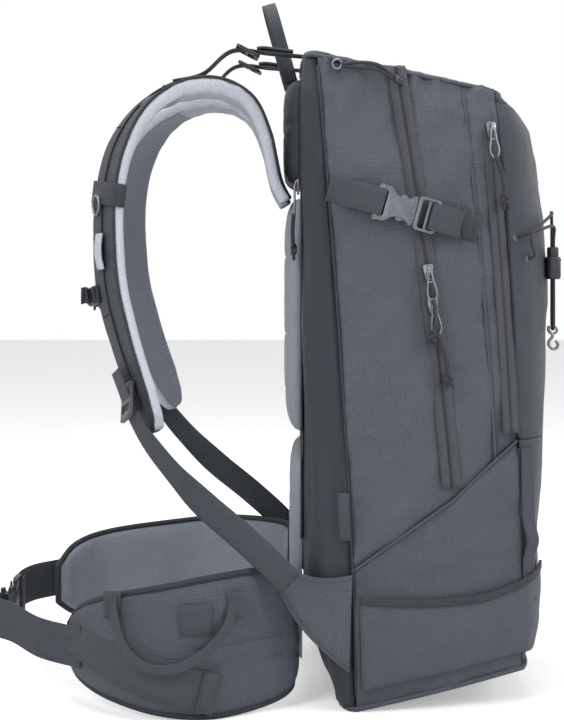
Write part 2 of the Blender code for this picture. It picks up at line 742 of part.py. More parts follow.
def make_side_straps():
    lift = BUCKLE_THICKNESS / 2 + WEBBING_THICKNESS + PLAY + 0.0022
    for name, side in SIDES.items():
        z = SIDE_STRAP_REAR[1] + (SIDE_BUCKLE_Y - SIDE_STRAP_REAR[0]) * -math.tan(SIDE_STRAP_PITCH)
        x_near = side_x(SIDE_BUCKLE_Y + 0.04, z)
        x_far = side_x(SIDE_BUCKLE_Y - 0.03, z)
        along = Vector((side * (x_far - x_near) / 0.07, -1, math.tan(SIDE_STRAP_PITCH)))
        frame = local_frame((side * (side_x(SIDE_BUCKLE_Y, z) + lift), SIDE_BUCKLE_Y, z), along,
                            (side, 0, 0))
        female_loop, male_loop = make_buckle(f"side_buckle_female_{name}", f"side_buckle_male_{name}",
                                             WEBBING, frame, grey_buckle)
        skin = WEBBING_THICKNESS / 2 + 2 * GAP
        y0, z0 = SIDE_STRAP_REAR
        y1, z1 = SIDE_STRAP_FRONT
        rear = [(side * (side_x(y0 - 0.008, z0) + skin), y0 - 0.008, z0 - 0.002),
                (side * (side_x(y0, z0) + skin), y0, z0)]
        front = [(side * (side_x(y1 + 0.010, z1) + skin), y1 + 0.010, z1 + 0.003),
                 (side * (side_x(y1, z1) + skin), y1, z1)]
        slope = frame.to_3x3() @ Vector((0, 1, 0))
        looped_webbing(f"side_strap_rear_{name}", frame, female_loop, rear, WEBBING, black_webbing,
                       [slope] * 2)
        looped_webbing(f"side_strap_front_{name}", frame, male_loop, front, WEBBING, black_webbing,
                       [slope] * 2)


HAUL_FOOT = (0.028, 0.0100, 0.5730)


def make_haul_loop():
    lean = Vector((0, 0.27, 0.963))
    foot = Vector((0, HAUL_FOOT[1], HAUL_FOOT[2]))
    half = HAUL_FOOT[0]
    height = 0.082
    shape = [(-half, 0), (-half, height * 0.55)]
    shape += [(-half * math.cos(a), height * 0.66 + height * 0.34 * math.sin(a))
              for a in spread(0.12, math.pi - 0.12, 7)]
    shape += [(half, height * 0.55), (half, 0)]
    path = [foot + Vector((x, 0, 0)) + lean * z for x, z in shape]
    across = lean.cross(Vector((1, 0, 0)))
    ribbon("haul_loop", path, [across], 0.013, 0.0022, black_webbing)


ZIP_SLIDER = (0.013, 0.0085, 0.0055)
PULL_LENGTH = 0.026
PULL_WIDTH = 0.0085


def zip_pull_shape():
    half = PULL_WIDTH / 2
    outer = [(0.001, -half * 0.55), (-PULL_LENGTH * 0.7, -half), (-PULL_LENGTH, -half * 0.55),
             (-PULL_LENGTH, half * 0.55), (-PULL_LENGTH * 0.7, half), (0.001, half * 0.55)]
    inner = [(-PULL_LENGTH * 0.35, -half * 0.35), (-PULL_LENGTH * 0.72, -half * 0.55),
             (-PULL_LENGTH * 0.85, 0), (-PULL_LENGTH * 0.72, half * 0.55),
             (-PULL_LENGTH * 0.35, half * 0.35)]
    return [outer, inner]


# A slider standing on a zip and its pull, which hangs against it and turns at its top end.
def zip_set(name, location, up, out):
    seat = Vector(location) + Vector(out).normalized() * ZIP_SLIDER[2] / 2
    aim(place(f"{name}_slider", box_mesh(ZIP_SLIDER, 0.001, 1), black_plastic), seat, up, out)
    hinge = seat + Vector(out).normalized() * (ZIP_SLIDER[2] / 2 + 0.0014)
    pull = outline(f"{name}_pull", zip_pull_shape(), 0.0018, steel)
    return aim(pull, hinge, up, out)


def on_wall(u, z_wanted, side):
    v = z_wanted / BODY_HEIGHT
    for _ in range(8):
        v += (z_wanted - bag_point(u, v, side).z) / BODY_HEIGHT
    return v


def make_zip_sets():
    lift = 3 * GAP + ZIP_THICKNESS
    for name, z in (("main_upper", 0.392), ("main_lower", 0.362)):
        v = on_wall(2, z, -1)
        up = bag_point(2, v + 0.03, -1) - bag_point(2, v - 0.03, -1)
        zip_set(name, bag_point(2, v, -1) + bag_normal(2, v, -1) * lift, up, bag_normal(2, v, -1))
    v = on_wall(2.9, 0.520, -1)
    up = bag_point(2.9, v, -1) - bag_point(2.9, v - 0.06, -1)
    out = bag_normal(2.9, v - 0.02, -1)
    zip_set("lid", bag_point(2.9, v, -1) + out * 1.5 * GAP, up, out)
    zip_set("back_access", (-0.1005, GAP, 0.470), (0, 0, 1), (0, 1, 0))


def make_ring():
    share = 0.585
    middle, along, across, out = strap_frame(share)
    half = strap_half_width(share) + 4 * PLAY + 0.0012
    deep = STRAP_THICKNESS / 2 + 0.0012 + 2 * PLAY
    back = -deep - 0.0008
    loop = [(-half, back - 0.0020), (0, back), (half, back - 0.0020), (half + 0.0022, 0),
            (half, deep - 0.002), (half * 0.5, deep), (-half * 0.5, deep), (-half, deep - 0.002),
            (-half - 0.0022, 0)]
    rows = []
    for t in (-0.010, 0.010):
        rows.append([mirrored(middle + along * t + across * x + out * z, -1) for x, z in loop + loop[:1]])
    keeper = place("ring_keeper", sheet_mesh(rows), black_webbing)
    work = bmesh.new()
    work.from_mesh(keeper.data)
    bmesh.ops.remove_doubles(work, verts=work.verts, dist=1e-5)
    bmesh.ops.recalc_face_normals(work, faces=work.faces)
    work.to_mesh(keeper.data)
    work.free()
    thicken(keeper, 0.0012, 0)
    wire = 0.0013
    radius = 0.0085
    hinge = mirrored(middle + out * (deep + 0.0006 + wire + 2 * GAP) + along * 0.004, -1)
    face_turn = math.atan2(-across.y, across.x)
    circle = [(radius * math.sin(a), 0, -radius + radius * math.cos(a)) for a in spread(0, 2 * math.pi, 20)]
    tube("strap_ring", circle[:-1], wire, steel, closed=True, location=hinge, turn=(0, 0, face_turn))


CORD_RADIUS = 0.0015
CORD_SPACING = 0.009


def make_lid_cord():
    middle = bag_point(3.62, on_wall(3.62, 0.405, -1), -1)
    x = middle.x
    y = middle.y - 0.0095
    lock = (0.020, 0.013, 0.030)
    body = as_mesh(place("cord_lock", box_mesh(lock, 0.003, 2), black_plastic, (x, y, 0.400)))
    for sign in (-1, 1):
        bore = as_mesh(place(f"cord_bore_{sign}", box_mesh((2 * CORD_RADIUS + 0.001,) * 2 + (0.05,)),
                             black_plastic, (x + sign * CORD_SPACING / 2, y, 0.400)))
        combine(body, bore, "DIFFERENCE")
    a = x - CORD_SPACING / 2
    b = x + CORD_SPACING / 2
    first = bag_point(3.12, on_wall(3.12, 0.424, -1), -1) + bag_normal(3.12, 0.70, -1) * (CORD_RADIUS + GAP)
    second = bag_point(3.25, on_wall(3.25, 0.404, -1), -1) + bag_normal(3.25, 0.66, -1) * (CORD_RADIUS + GAP)
    route = [first, first + Vector((-0.006, -0.018, 0.006)), Vector((a - 0.004, y + 0.001, 0.434)),
             Vector((a, y, 0.420)), Vector((a, y, 0.385)), Vector((a, y, 0.345)),
             Vector((x, y, 0.3385)), Vector((b, y, 0.345)), Vector((b, y, 0.385)), Vector((b, y, 0.425)),
             Vector((b + 0.001, y, 0.440)), Vector((b - 0.002, y + 0.001, 0.447)),
             Vector((a - 0.006, y + 0.004, 0.444)), first + Vector((-0.012, -0.010, 0.001)),
             second + Vector((-0.003, -0.004, 0.004)), second]
    tube("shock_cord", smooth_path(route, 3), CORD_RADIUS, black_webbing)
    hook = [(-0.006, 0), (-0.006, 0.006), (0.006, 0.006), (0.006, 0), (0.0035, -0.004), (0.0035, -0.014),
            (0, -0.018), (-0.0045, -0.016), (-0.0045, -0.012), (-0.002, -0.013), (0.0005, -0.0115),
            (0.0005, -0.004)]
    eye = [(-0.0035, 0.0005), (0.0035, 0.0005), (0.0035, 0.0048), (-0.0035, 0.0048)]
    eye_z = 0.3385 - 0.0028
    outline("cord_hook", [hook, eye], 0.003, steel, (x, y, eye_z), (math.pi / 2, 0, math.pi / 2))


make_bag()
make_caps()
make_main_zip()
make_back_system()
make_straps()
make_lifters()
make_lower_straps()
make_hip_belt()
make_hip_webbing()
make_sternum()
make_side_straps()
make_haul_loop()
make_zip_sets()
make_ring()
make_lid_cord()
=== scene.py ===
import json
import math

import bmesh
import bpy
from mathutils import Matrix, Vector, noise

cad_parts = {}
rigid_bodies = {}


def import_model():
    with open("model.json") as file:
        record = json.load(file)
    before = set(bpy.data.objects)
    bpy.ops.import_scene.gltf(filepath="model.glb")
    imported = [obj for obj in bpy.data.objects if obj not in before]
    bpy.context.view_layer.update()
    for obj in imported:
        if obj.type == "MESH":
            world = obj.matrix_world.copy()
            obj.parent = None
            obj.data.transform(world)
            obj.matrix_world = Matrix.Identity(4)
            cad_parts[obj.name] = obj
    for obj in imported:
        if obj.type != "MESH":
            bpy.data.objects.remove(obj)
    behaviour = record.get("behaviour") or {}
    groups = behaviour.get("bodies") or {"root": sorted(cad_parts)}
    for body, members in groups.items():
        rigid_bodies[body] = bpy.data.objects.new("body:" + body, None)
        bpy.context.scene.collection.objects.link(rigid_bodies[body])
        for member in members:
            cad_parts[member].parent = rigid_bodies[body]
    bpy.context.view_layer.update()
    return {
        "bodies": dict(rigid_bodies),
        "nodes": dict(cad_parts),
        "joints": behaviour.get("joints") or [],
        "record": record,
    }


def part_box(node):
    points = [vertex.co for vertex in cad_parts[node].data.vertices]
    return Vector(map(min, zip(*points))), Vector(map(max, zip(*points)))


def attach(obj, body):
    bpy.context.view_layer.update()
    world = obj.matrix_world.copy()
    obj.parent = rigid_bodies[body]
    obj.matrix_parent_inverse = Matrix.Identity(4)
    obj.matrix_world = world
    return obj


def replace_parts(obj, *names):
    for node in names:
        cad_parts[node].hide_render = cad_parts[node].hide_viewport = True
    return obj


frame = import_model()
print("stage: frame loaded")

hands = {"left": -1, "right": 1}
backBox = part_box("back_panel")
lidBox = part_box("front_lid")
backY = backBox[1][1]  # plane of the back panel
bodyDepth = backY - lidBox[0][1]
backWidth = 2 * backBox[1][0]
frontWidth = 2 * lidBox[1][0]
topDome = 0.010
bodyHeight = backBox[1][2] + topDome
cloth = 0.0025
gap = 0.0005


# ---- shader maths ----

class Field:
    def __init__(self, tree, socket):
        self.tree = tree
        self.socket = socket

    def node(self, kind, inputs, output=0, **settings):
        made = self.tree.nodes.new(kind)
        for name, value in settings.items():
            setattr(made, name, value)
        for name, value in inputs.items():
            if isinstance(value, Field):
                self.tree.links.new(value.socket, made.inputs[name])
            else:
                made.inputs[name].default_value = value
        return Field(self.tree, made.outputs[output])

    def math(self, operation, other=0.0, third=0.0):
        return self.node("ShaderNodeMath", {0: self, 1: other, 2: third}, operation=operation)

    def __add__(self, other):
        return self.math("ADD", other)

    def __sub__(self, other):
        return self.math("SUBTRACT", other)

    def __mul__(self, other):
        return self.math("MULTIPLY", other)

    def __truediv__(self, other):
        return self.math("DIVIDE", other)

    def __rsub__(self, other):
        return self * -1 + other

    __radd__ = __add__
    __rmul__ = __mul__

    def wave(self, period):
        return (self * (2 * math.pi / period)).math("SINE")

    def soften(self, low, high):
        return self.node("ShaderNodeMapRange", {"Value": self, "From Min": low, "From Max": high},
                         interpolation_type="SMOOTHSTEP")

    def tint(self, first, second):
        return self.node("ShaderNodeMix", {0: self, 6: (*first, 1), 7: (*second, 1)}, output=2,
                         data_type="RGBA")


class Finish:
    def __init__(self, name, roughness, metallic=0.0, sheen=0.0):
        self.material = bpy.data.materials.new(name)
        self.material.use_nodes = True
        self.tree = self.material.node_tree
        self.shader = self.tree.nodes["Principled BSDF"]
        self.shader.inputs["Roughness"].default_value = roughness
        self.shader.inputs["Metallic"].default_value = metallic
        self.shader.inputs["Sheen Weight"].default_value = sheen
        self.shader.inputs["Sheen Roughness"].default_value = 0.5
        place = self.tree.nodes.new("ShaderNodeTexCoord")
        self.place = Field(self.tree, place.outputs["Object"])
        flat = self.tree.nodes.new("ShaderNodeSeparateXYZ")
        self.tree.links.new(place.outputs["UV"], flat.inputs[0])
        self.across = Field(self.tree, flat.outputs[0])
        self.along = Field(self.tree, flat.outputs[1])

    def cloud(self, size, detail=3.0, roughness=0.55):
        return self.place.node("ShaderNodeTexNoise", {
            "Vector": self.place, "Scale": 1 / size, "Detail": detail, "Roughness": roughness})

    def finish(self, colour=None, roughness=None, height=None, depth=0.0003):
        if isinstance(colour, Field):
            self.tree.links.new(colour.socket, self.shader.inputs["Base Color"])
        elif colour:
            self.shader.inputs["Base Color"].default_value = (*colour, 1)
        if roughness:
            self.tree.links.new(roughness.socket, self.shader.inputs["Roughness"])
        if height:
            bump = height.node("ShaderNodeBump", {"Height": height, "Distance": depth, "Strength": 1.0})
            self.tree.links.new(bump.socket, self.shader.inputs["Normal"])
        return self.material


def darker(colour, share):
    return tuple(value * share for value in colour)


def makeRipstop(name, base, cell=0.0042, contrast=0.62):
    finish = Finish(name, 0.55, sheen=0.04)
    line = 0.0006
    runs = (finish.across / cell).math("PINGPONG", 0.5) * cell
    rows = (finish.along / cell).math("PINGPONG", 0.5) * cell
    grid = runs.math("MINIMUM", rows).soften(line, line * 0.3)
    weave = finish.across.wave(0.0011) * finish.along.wave(0.0009)
    patch = finish.cloud(0.05)
    fine = finish.cloud(0.004, 5)
    grit = finish.cloud(0.0014, 2)
    shade = patch * 0.40 + fine * 0.35 + (grit - 0.5) * 1.3 + grid * 0.16 + 0.12
    colour = shade.tint(darker(base, contrast), darker(base, 1.5))
    return finish.finish(colour, patch * 0.25 + 0.40, grid * 0.7 + weave * 0.3 + grit * 0.9, 0.0004)


def makeSmoothCloth(name, base):
    finish = Finish(name, 0.45, sheen=0.03)
    weave = finish.across.wave(0.0009) * finish.along.wave(0.0009)
    broad = finish.cloud(0.06)
    fine = finish.cloud(0.006, 5)
    grit = finish.cloud(0.0012, 2)
    colour = (broad * 0.5 + fine * 0.4 + (grit - 0.5) * 0.6).tint(darker(base, 0.6), darker(base, 1.5))
    return finish.finish(colour, fine * 0.3 + 0.30, weave * 0.4 + fine * 0.8 + grit * 0.4, 0.0003)


def makeWebbing(name, base):
    finish = Finish(name, 0.65, sheen=0.03)
    rib = finish.along.wave(0.0022) * 0.5 + finish.across.wave(0.0028) * 0.3
    slant = (finish.along + finish.across.math("PINGPONG", 0.0055)).wave(0.0026)
    edge = finish.cloud(0.01, 4)
    shade = slant * 0.22 + rib * 0.12 + edge * 0.5 + 0.15
    return finish.finish(shade.tint(darker(base, 0.55), darker(base, 1.7)), edge * 0.2 + 0.6,
                         slant * 0.6 + rib * 0.4, 0.00025)


def makeLining(name, base):
    finish = Finish(name, 0.8, sheen=0.1)
    knit = finish.place.node("ShaderNodeTexVoronoi", {"Vector": finish.place, "Scale": 520.0})
    broad = finish.cloud(0.03)
    fine = finish.cloud(0.003, 4)
    shade = knit * 0.5 + broad * 0.3 + fine * 0.3
    return finish.finish(shade.tint(darker(base, 0.82), darker(base, 1.12)), fine * 0.2 + 0.7,
                         knit * 1.2 + fine * 0.6, 0.00045)


def makePlastic(name, base, roughness, metallic=0.0):
    finish = Finish(name, roughness, metallic)
    grain = finish.cloud(0.0012, 3)
    wear = finish.cloud(0.015, 4)
    return finish.finish((wear * 0.8 + grain * 0.2).tint(darker(base, 0.8), darker(base, 1.3)),
                         grain * 0.2 + (roughness - 0.1), grain, 0.00012)


navy = makeSmoothCloth("navyCloth", (0.012, 0.017, 0.027))
lidCloth = makeSmoothCloth("lidCloth", (0.026, 0.032, 0.045))
slate = makeRipstop("slateRipstop", (0.056, 0.065, 0.084))
lowerCloth = makeRipstop("lowerRipstop", (0.052, 0.060, 0.077), 0.0036)
mesh = makeLining("greyMesh", (0.24, 0.265, 0.31))
pale = makeLining("paleLining", (0.50, 0.53, 0.60))
# A lighter copy of the strap's grey inner lining, painted light to lift the shade on the arch's down-facing inner side.
archLiningPaintedLight = makeLining("archLiningPaintedLight", (0.42, 0.45, 0.51))
tape = makeWebbing("blackWebbing", (0.038, 0.044, 0.056))
binding = makeWebbing("blackBinding", (0.014, 0.017, 0.024))
zipTape = makeWebbing("zipTape", (0.048, 0.052, 0.062))
plastic = makePlastic("blackPlastic", (0.018, 0.020, 0.026), 0.42)
buckleGrey = makePlastic("greyBuckle", (0.15, 0.16, 0.18), 0.27, 0.7)
metal = makePlastic("satinSteel", (0.20, 0.21, 0.23), 0.30, 1.0)
cordCloth = makeWebbing("cordCloth", (0.022, 0.025, 0.032))
strapCloth = makeRipstop("strapRipstop", (0.030, 0.035, 0.046), 0.0036)
elastic = makeWebbing("blackElastic", (0.022, 0.026, 0.036))
threadDark = makePlastic("darkThread", (0.014, 0.017, 0.024), 0.6)
threadPale = makePlastic("paleThread", (0.42, 0.45, 0.50), 0.7)
plasticWorn = makePlastic("satinPlastic", (0.050, 0.054, 0.064), 0.36)
print("stage: materials")


# ---- mesh helpers ----

def addPiece(name, work, material, bodyName=None, smooth=True):
    bmesh.ops.recalc_face_normals(work, faces=work.faces)
    data = bpy.data.meshes.new(name)
    work.to_mesh(data)
    work.free()
    if smooth:
        data.shade_smooth()
    data.materials.append(material)
    piece = bpy.data.objects.new(name, data)
    bpy.context.scene.collection.objects.link(piece)
    if bodyName:
        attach(piece, bodyName)
    return piece


# A loft through rows of points; its UVs run in metres, so a weave keeps its real size.
def loft(rows, closed=False):
    work = bmesh.new()
    layer = work.loops.layers.uv.new("UVMap")
    made = [[work.verts.new(point) for point in row] for row in rows]
    middle = rows[len(rows) // 2]
    across = [0.0]
    for a, b in zip(middle, middle[1:] + middle[:1]):
        across.append(across[-1] + (Vector(b) - Vector(a)).length)
    column = [row[len(row) // 2] for row in rows]
    along = [0.0]
    for a, b in zip(column, column[1:]):
        along.append(along[-1] + (Vector(b) - Vector(a)).length)
    count = len(rows[0])
    for row in range(len(rows) - 1):
        for index in range(count if closed else count - 1):
            after = (index + 1) % count
            face = work.faces.new((made[row][index], made[row][after], made[row + 1][after], made[row + 1][index]))
            ends = ((across[index], along[row]), (across[index + 1], along[row]),
                    (across[index + 1], along[row + 1]), (across[index], along[row + 1]))
            for loop, place in zip(face.loops, ends):
                loop[layer].uv = place
    return work


def thicken(piece, thickness, offset=0.0):
    modifier = piece.modifiers.new("thickness", "SOLIDIFY")
    modifier.thickness = thickness
    modifier.offset = offset
    return piece


def spread(low, high, count):
    return [low + (high - low) * index / count for index in range(count + 1)]


def between(value, table):
    for (v0, y0), (v1, y1) in zip(table, table[1:]):
        if value <= v1:
            share = max(0.0, (value - v0) / (v1 - v0))
            share = share * share * (3 - 2 * share)
            return y0 + (y1 - y0) * share
    return table[-1][1]


def curvePath(points, perSpan=8):
    path = [Vector(point) for point in points]
    ends = [path[0] * 2 - path[1], *path, path[-1] * 2 - path[-2]]
    found = []
    for index in range(len(path) - 1):
        a, b, c, d = ends[index:index + 4]
        for step in range(perSpan):
            t = step / perSpan
            found.append(0.5 * (b * 2 + (c - a) * t + (a * 2 - b * 5 + c * 4 - d) * t * t
                                + (b * 3 - a - c * 3 + d) * t ** 3))
    found.append(path[-1])
    return found


def rumple(point, size, seed=0.0):
    return noise.noise(Vector(point) / size + Vector((seed, seed * 0.7, -seed)))


# A woven band with rounded edges along points, with its width direction for each point.
def webbingMesh(points, across, width, thickness, ripple=0.0):
    path = [Vector(point) for point in points]
    turns = [Vector(turn).normalized() for turn in across]
    rows = []
    for index, point in enumerate(path):
        ahead = path[min(index + 1, len(path) - 1)] - path[max(index - 1, 0)]
        side = turns[min(index, len(turns) - 1)]
        up = side.cross(ahead).normalized()
        half = (width[index] if isinstance(width, list) else width) / 2
        lift = ripple * rumple(point, 0.03, 3.0)
        ring = [(-1, 0.25), (-0.96, 0.5), (-0.5, 0.52), (0, 0.5), (0.5, 0.52), (0.96, 0.5), (1, 0.25),
                (1, -0.25), (0.96, -0.5), (0.5, -0.48), (0, -0.5), (-0.5, -0.48), (-0.96, -0.5), (-1, -0.25)]
        rows.append([point + side * half * x + up * (thickness * z + lift) for x, z in ring])
    work = loft(rows, closed=True)
    for row in (0, len(rows) - 1):
        work.verts.ensure_lookup_table()
        work.faces.new([work.verts[row * 14 + index] for index in range(14)])
    return work


def tubeMesh(points, radius, sides=10, closedPath=False):
    path = [Vector(point) for point in points]
    rows = []
    side = None
    for index, point in enumerate(path):
        if closedPath:
            ahead = (path[(index + 1) % len(path)] - path[index - 1]).normalized()
        else:
            ahead = (path[min(index + 1, len(path) - 1)] - path[max(index - 1, 0)]).normalized()
        if side is None:
            side = ahead.orthogonal().normalized()
        side = (side - ahead * side.dot(ahead)).normalized()
        up = ahead.cross(side)
        size = radius(index / (len(path) - 1)) if callable(radius) else radius
        rows.append([point + (side * math.cos(a) + up * math.sin(a)) * size
                     for a in spread(0, 2 * math.pi, sides)[:-1]])
    if closedPath:
        rows.append(rows[0])
    work = loft(rows, closed=True)
    if closedPath:
        bmesh.ops.remove_doubles(work, verts=work.verts, dist=1e-6)
    else:
        work.verts.ensure_lookup_table()
        for row in (0, len(rows) - 1):
            work.faces.new([work.verts[row * sides + index] for index in range(sides)])
    return work


# Short raised threads along a line, for topstitching.
def stitchMesh(points, normals, pitch=0.0036, size=0.00045):
    work = bmesh.new()
    lengths = [0.0]
    for a, b in zip(points, points[1:]):
        lengths.append(lengths[-1] + (b - a).length)
    count = int(lengths[-1] / pitch)
    span = 0
    for index in range(count):
        middle = (index + 0.5) * pitch
        while span < len(points) - 2 and lengths[span + 1] < middle:
            span += 1
        share = (middle - lengths[span]) / max(lengths[span + 1] - lengths[span], 1e-9)
        place = points[span].lerp(points[span + 1], share)
        ahead = (points[span + 1] - points[span]).normalized()
        out = normals[span]
        side = out.cross(ahead).normalized()
        turn = Matrix((ahead, side, out)).transposed().to_4x4()
        turn.translation = place + out * size * 0.3
        bmesh.ops.create_uvsphere(work, u_segments=6, v_segments=4, radius=1,
                                  matrix=turn @ Matrix.Diagonal((pitch * 0.33, size, size, 1)))
    return work


# ---- the bag's surface: u 0 back centre, 1 rear seam, 2 main zip, 3 lid zip, 4 front centre; v up ----

backLine = [(0, -0.032), (0.04, -0.024), (0.10, -0.010), (0.18, -0.001), (0.25, 0), (1, 0)]
frontShare = [(0, 0.893), (0.03, 0.918), (0.07, 0.940), (0.28, 0.970), (0.45, 0.987), (0.64, 1.0),
              (0.80, 0.987), (0.90, 0.955), (0.95, 0.925), (0.98, 0.885), (1, 0.80)]
taper = [(0, 0.965), (0.04, 0.985), (0.15, 1), (0.85, 1), (0.95, 0.985), (1, 0.94)]
lidHinge = 0.40
lidTop = 0.985
mainZipFoot = 0.33


def steady(value, table):
    for (v0, y0), (v1, y1) in zip(table, table[1:]):
        if value <= v1:
            return y0 + (y1 - y0) * max(0.0, (value - v0) / (v1 - v0))
    return table[-1][1]


def baseZ(y):
    return cloth + gap + 0.038 * max(0.0, -y - 0.047) / (bodyDepth - 0.047)


def rimZ(y):
    return bodyHeight - topDome - 0.034 * max(0.0, -y) / (bodyDepth * 0.8)


def seamY(v):
    return -0.047 + 0.035 * max(v, 0) ** 1.5


def mainZipY(v):
    return -bodyDepth * (0.624 - 0.128 * v - 0.141 * v * v)


def lidZipY(v):
    return -bodyDepth * (0.850 - 0.106 * v * v)


def halfWidth(y, v):
    t = (seamY(v) - y) / (seamY(v) - lidZipY(v))
    flat = (backWidth + (frontWidth - backWidth) * t) / 2
    return flat * steady(v, taper) + 0.005 * math.sin(math.pi * min(max(t, 0), 1))


def bagPoint(u, v, side=-1):
    seam = seamY(v)
    back = steady(v, backLine)
    if u <= 0.6:
        x, y = (halfWidth(seam, v) - 0.034) * u / 0.6, back
    elif u <= 1:
        turn = math.pi / 2 * (u - 0.6) / 0.4
        x = halfWidth(seam, v) - 0.034 * (1 - math.sin(turn))
        y = seam + (back - seam) * math.cos(turn)
    elif u <= 3:
        zipY = mainZipY(v)
        y = seam + (zipY - seam) * (u - 1) if u <= 2 else zipY + (lidZipY(v) - zipY) * (u - 2)
        x = halfWidth(y, v)
    else:
        turn = math.pi / 2 * (u - 3)
        front = -bodyDepth * steady(v, frontShare)
        x = halfWidth(lidZipY(v), v) * max(math.cos(turn), 0) ** 0.85
        y = lidZipY(v) + (front - lidZipY(v)) * math.sin(turn)
    z = baseZ(y) + (rimZ(y) - baseZ(y)) * v
    return Vector((side * x, backY + y, z))


def bagNormal(u, v, side=-1):
    step = 0.012
    along = bagPoint(u + step, v, side) - bagPoint(u - step, v, side)
    rise = bagPoint(u, v + step, side) - bagPoint(u, v - step, side)
    return (side * rise.cross(along)).normalized()


def bagLine(line, lift, side):
    points = [bagPoint(u, v, side) + bagNormal(u, min(v, 0.985), side) * lift for u, v in line]
    return points, [bagNormal(u, min(v, 0.985), side) for u, v in line]


# Cloth panel over a range of the surface; swell(u, v, point) lifts it off the plain shape.
def panel(name, us, lowV, highV, rows, material, bodyName, swell, side=-1, thickness=cloth):
    grid = []
    for row in range(rows + 1):
        line = []
        for u in us:
            share = row / rows
            v = lowV(abs(u)) + (highV(abs(u)) - lowV(abs(u))) * share
            hand = side if u >= 0 else -side
            point = bagPoint(abs(u), v, hand)
            line.append(point + bagNormal(abs(u), min(v, 0.985), hand) * swell(u, v, share, point))
        grid.append(line)
    piece = addPiece(name, loft(grid), material, bodyName)
    middle = Vector((0, backY - bodyDepth / 2, grid[rows // 2][0].z))
    face = piece.data.polygons[len(piece.data.polygons) // 2]
    outward = face.normal.dot(face.center - middle) > 0
    return thicken(piece, thickness, -1 if outward else 1)


def diagonal(u):
    return 0.215 + (lidHinge - 0.215) * min(max(u - 1, 0), 2) / 2


def tuck(distance, reach, depth):
    return -depth * math.exp(-abs(distance) / reach)


def sideSwell(u, v, share, point):
    folds = 0.0034 * rumple(Vector((point.x, point.y * 1.6 + point.z * 0.5, point.z * 0.9)), 0.075, 1.0)
    ridge = 0.0016 * (1 - abs(rumple(Vector((point.x, point.y + point.z * 0.6, point.z * 0.5)), 0.045, 13.0)) * 2.4)
    small = 0.0009 * rumple(Vector((point.x, point.y, point.z * 2.0)), 0.022, 5.0)
    pucker = 0.0008 * rumple(point, 0.009, 2.0) * (
        math.exp(-abs(u - 2) / 0.16) + math.exp(-abs(u - 2.66) / 0.08) + math.exp(-abs(u - 1) / 0.08))
    gather = 0.0046 * rumple(Vector((0, point.y * 2.4, point.z * 0.5)), 0.024, 7.0) * math.exp(-(1 - v) / 0.05)
    seams = tuck(u - 2.66, 0.03, 0.0014) + tuck(u - 1, 0.04, 0.001) + tuck(v - diagonal(u), 0.008, 0.001)
    puff = 0.0035 * math.sin(math.pi * min(max((u - 1) / 1.0, 0), 1)) * math.sin(math.pi * min(share, 1)) ** 0.5
    return folds + ridge + small + pucker + gather + seams + puff


def lowerSwell(u, v, share, point):
    crease = 0.0032 * rumple(Vector((point.x, point.y * 1.2 + point.z, point.z)), 0.045, 11.0)
    small = 0.0009 * rumple(point, 0.014, 3.0)
    return crease + small + tuck(v - diagonal(u), 0.01, 0.001) + 0.002 * math.sin(math.pi * share)


def backSwell(u, v, share, point):
    long = 0.0040 * rumple(Vector((point.x * 2, point.y * 3, point.z * 0.35)), 0.035, 4.0)
    return long * min(1, max(0, (abs(u) - 0.5) / 0.2)) + tuck(abs(u) - 1, 0.05, 0.001)


def frontSwell(u, v, share, point):
    broad = 0.0036 * rumple(Vector((point.x * 0.8, point.y, point.z)), 0.06, 8.0)
    return broad + 0.0006 * rumple(point, 0.016, 6.0)


def lidSwell(u, v, share, point):
    edge = 0.0012 * rumple(point, 0.012, 9.0) * (math.exp(-abs(abs(u) - 3) / 0.06) + math.exp(-(lidTop - v) / 0.02))
    return frontSwell(u, v, share, point) + edge + 0.002 * math.sin(math.pi * share)


def makeBag():
    hair = 0.0006
    backRun = [-u for u in reversed(spread(0.06, 0.99, 30))] + [0] + spread(0.06, 0.99, 30)
    shell = panel("bagBack", backRun, lambda u: 0, lambda u: 1, 110, navy, "bag", backSwell, side=1)
    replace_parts(shell, "back_panel")
    sideRun = spread(1.006, 2.985, 70)
    for name, side in hands.items():
        upper = panel("bagSide" + name.title(), sideRun, lambda u: diagonal(u) + hair, lambda u: 1, 130, slate,
                      "bag", sideSwell, side)
        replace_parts(upper, f"side_panel_{name}")
        lower = panel("bagLowerSide" + name.title(), sideRun, lambda u: 0, lambda u: diagonal(u) - hair, 60,
                      lowerCloth, "bag", lowerSwell, side)
        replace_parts(lower, f"side_lower_{name}")
    frontRun = spread(3.01, 3.96, 30)
    fullFront = [-u for u in frontRun] + [4] + list(reversed(frontRun))
    front = panel("bagFrontLower", fullFront, lambda u: 0, lambda u: lidHinge - hair, 60, lidCloth, "bag",
                  frontSwell, side=1)
    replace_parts(front, "front_lower_panel")
    lid = panel("frontLid", fullFront, lambda u: lidHinge + hair, lambda u: lidTop, 110, lidCloth, "lid",
                lidSwell, side=1)
    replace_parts(lid, "front_lid")


def makeFrontStrips():
    run = spread(3.0, 3.97, 30)
    full = [-u for u in run] + [4] + list(reversed(run))
    panel("topBand", full, lambda u: lidTop + 0.0008, lambda u: 1.0, 6, lidCloth, "bag",
          lambda u, v, share, point: 0.0008 * rumple(point, 0.012, 9.0), side=1)
    for name, side in hands.items():
        panel("cornerStrip" + name.title(), spread(2.93, 3.14, 8), lambda u: 0.01, lambda u: 1.0, 60, navy, "bag",
              lambda u, v, share, point: -0.0034, side, 0.001)


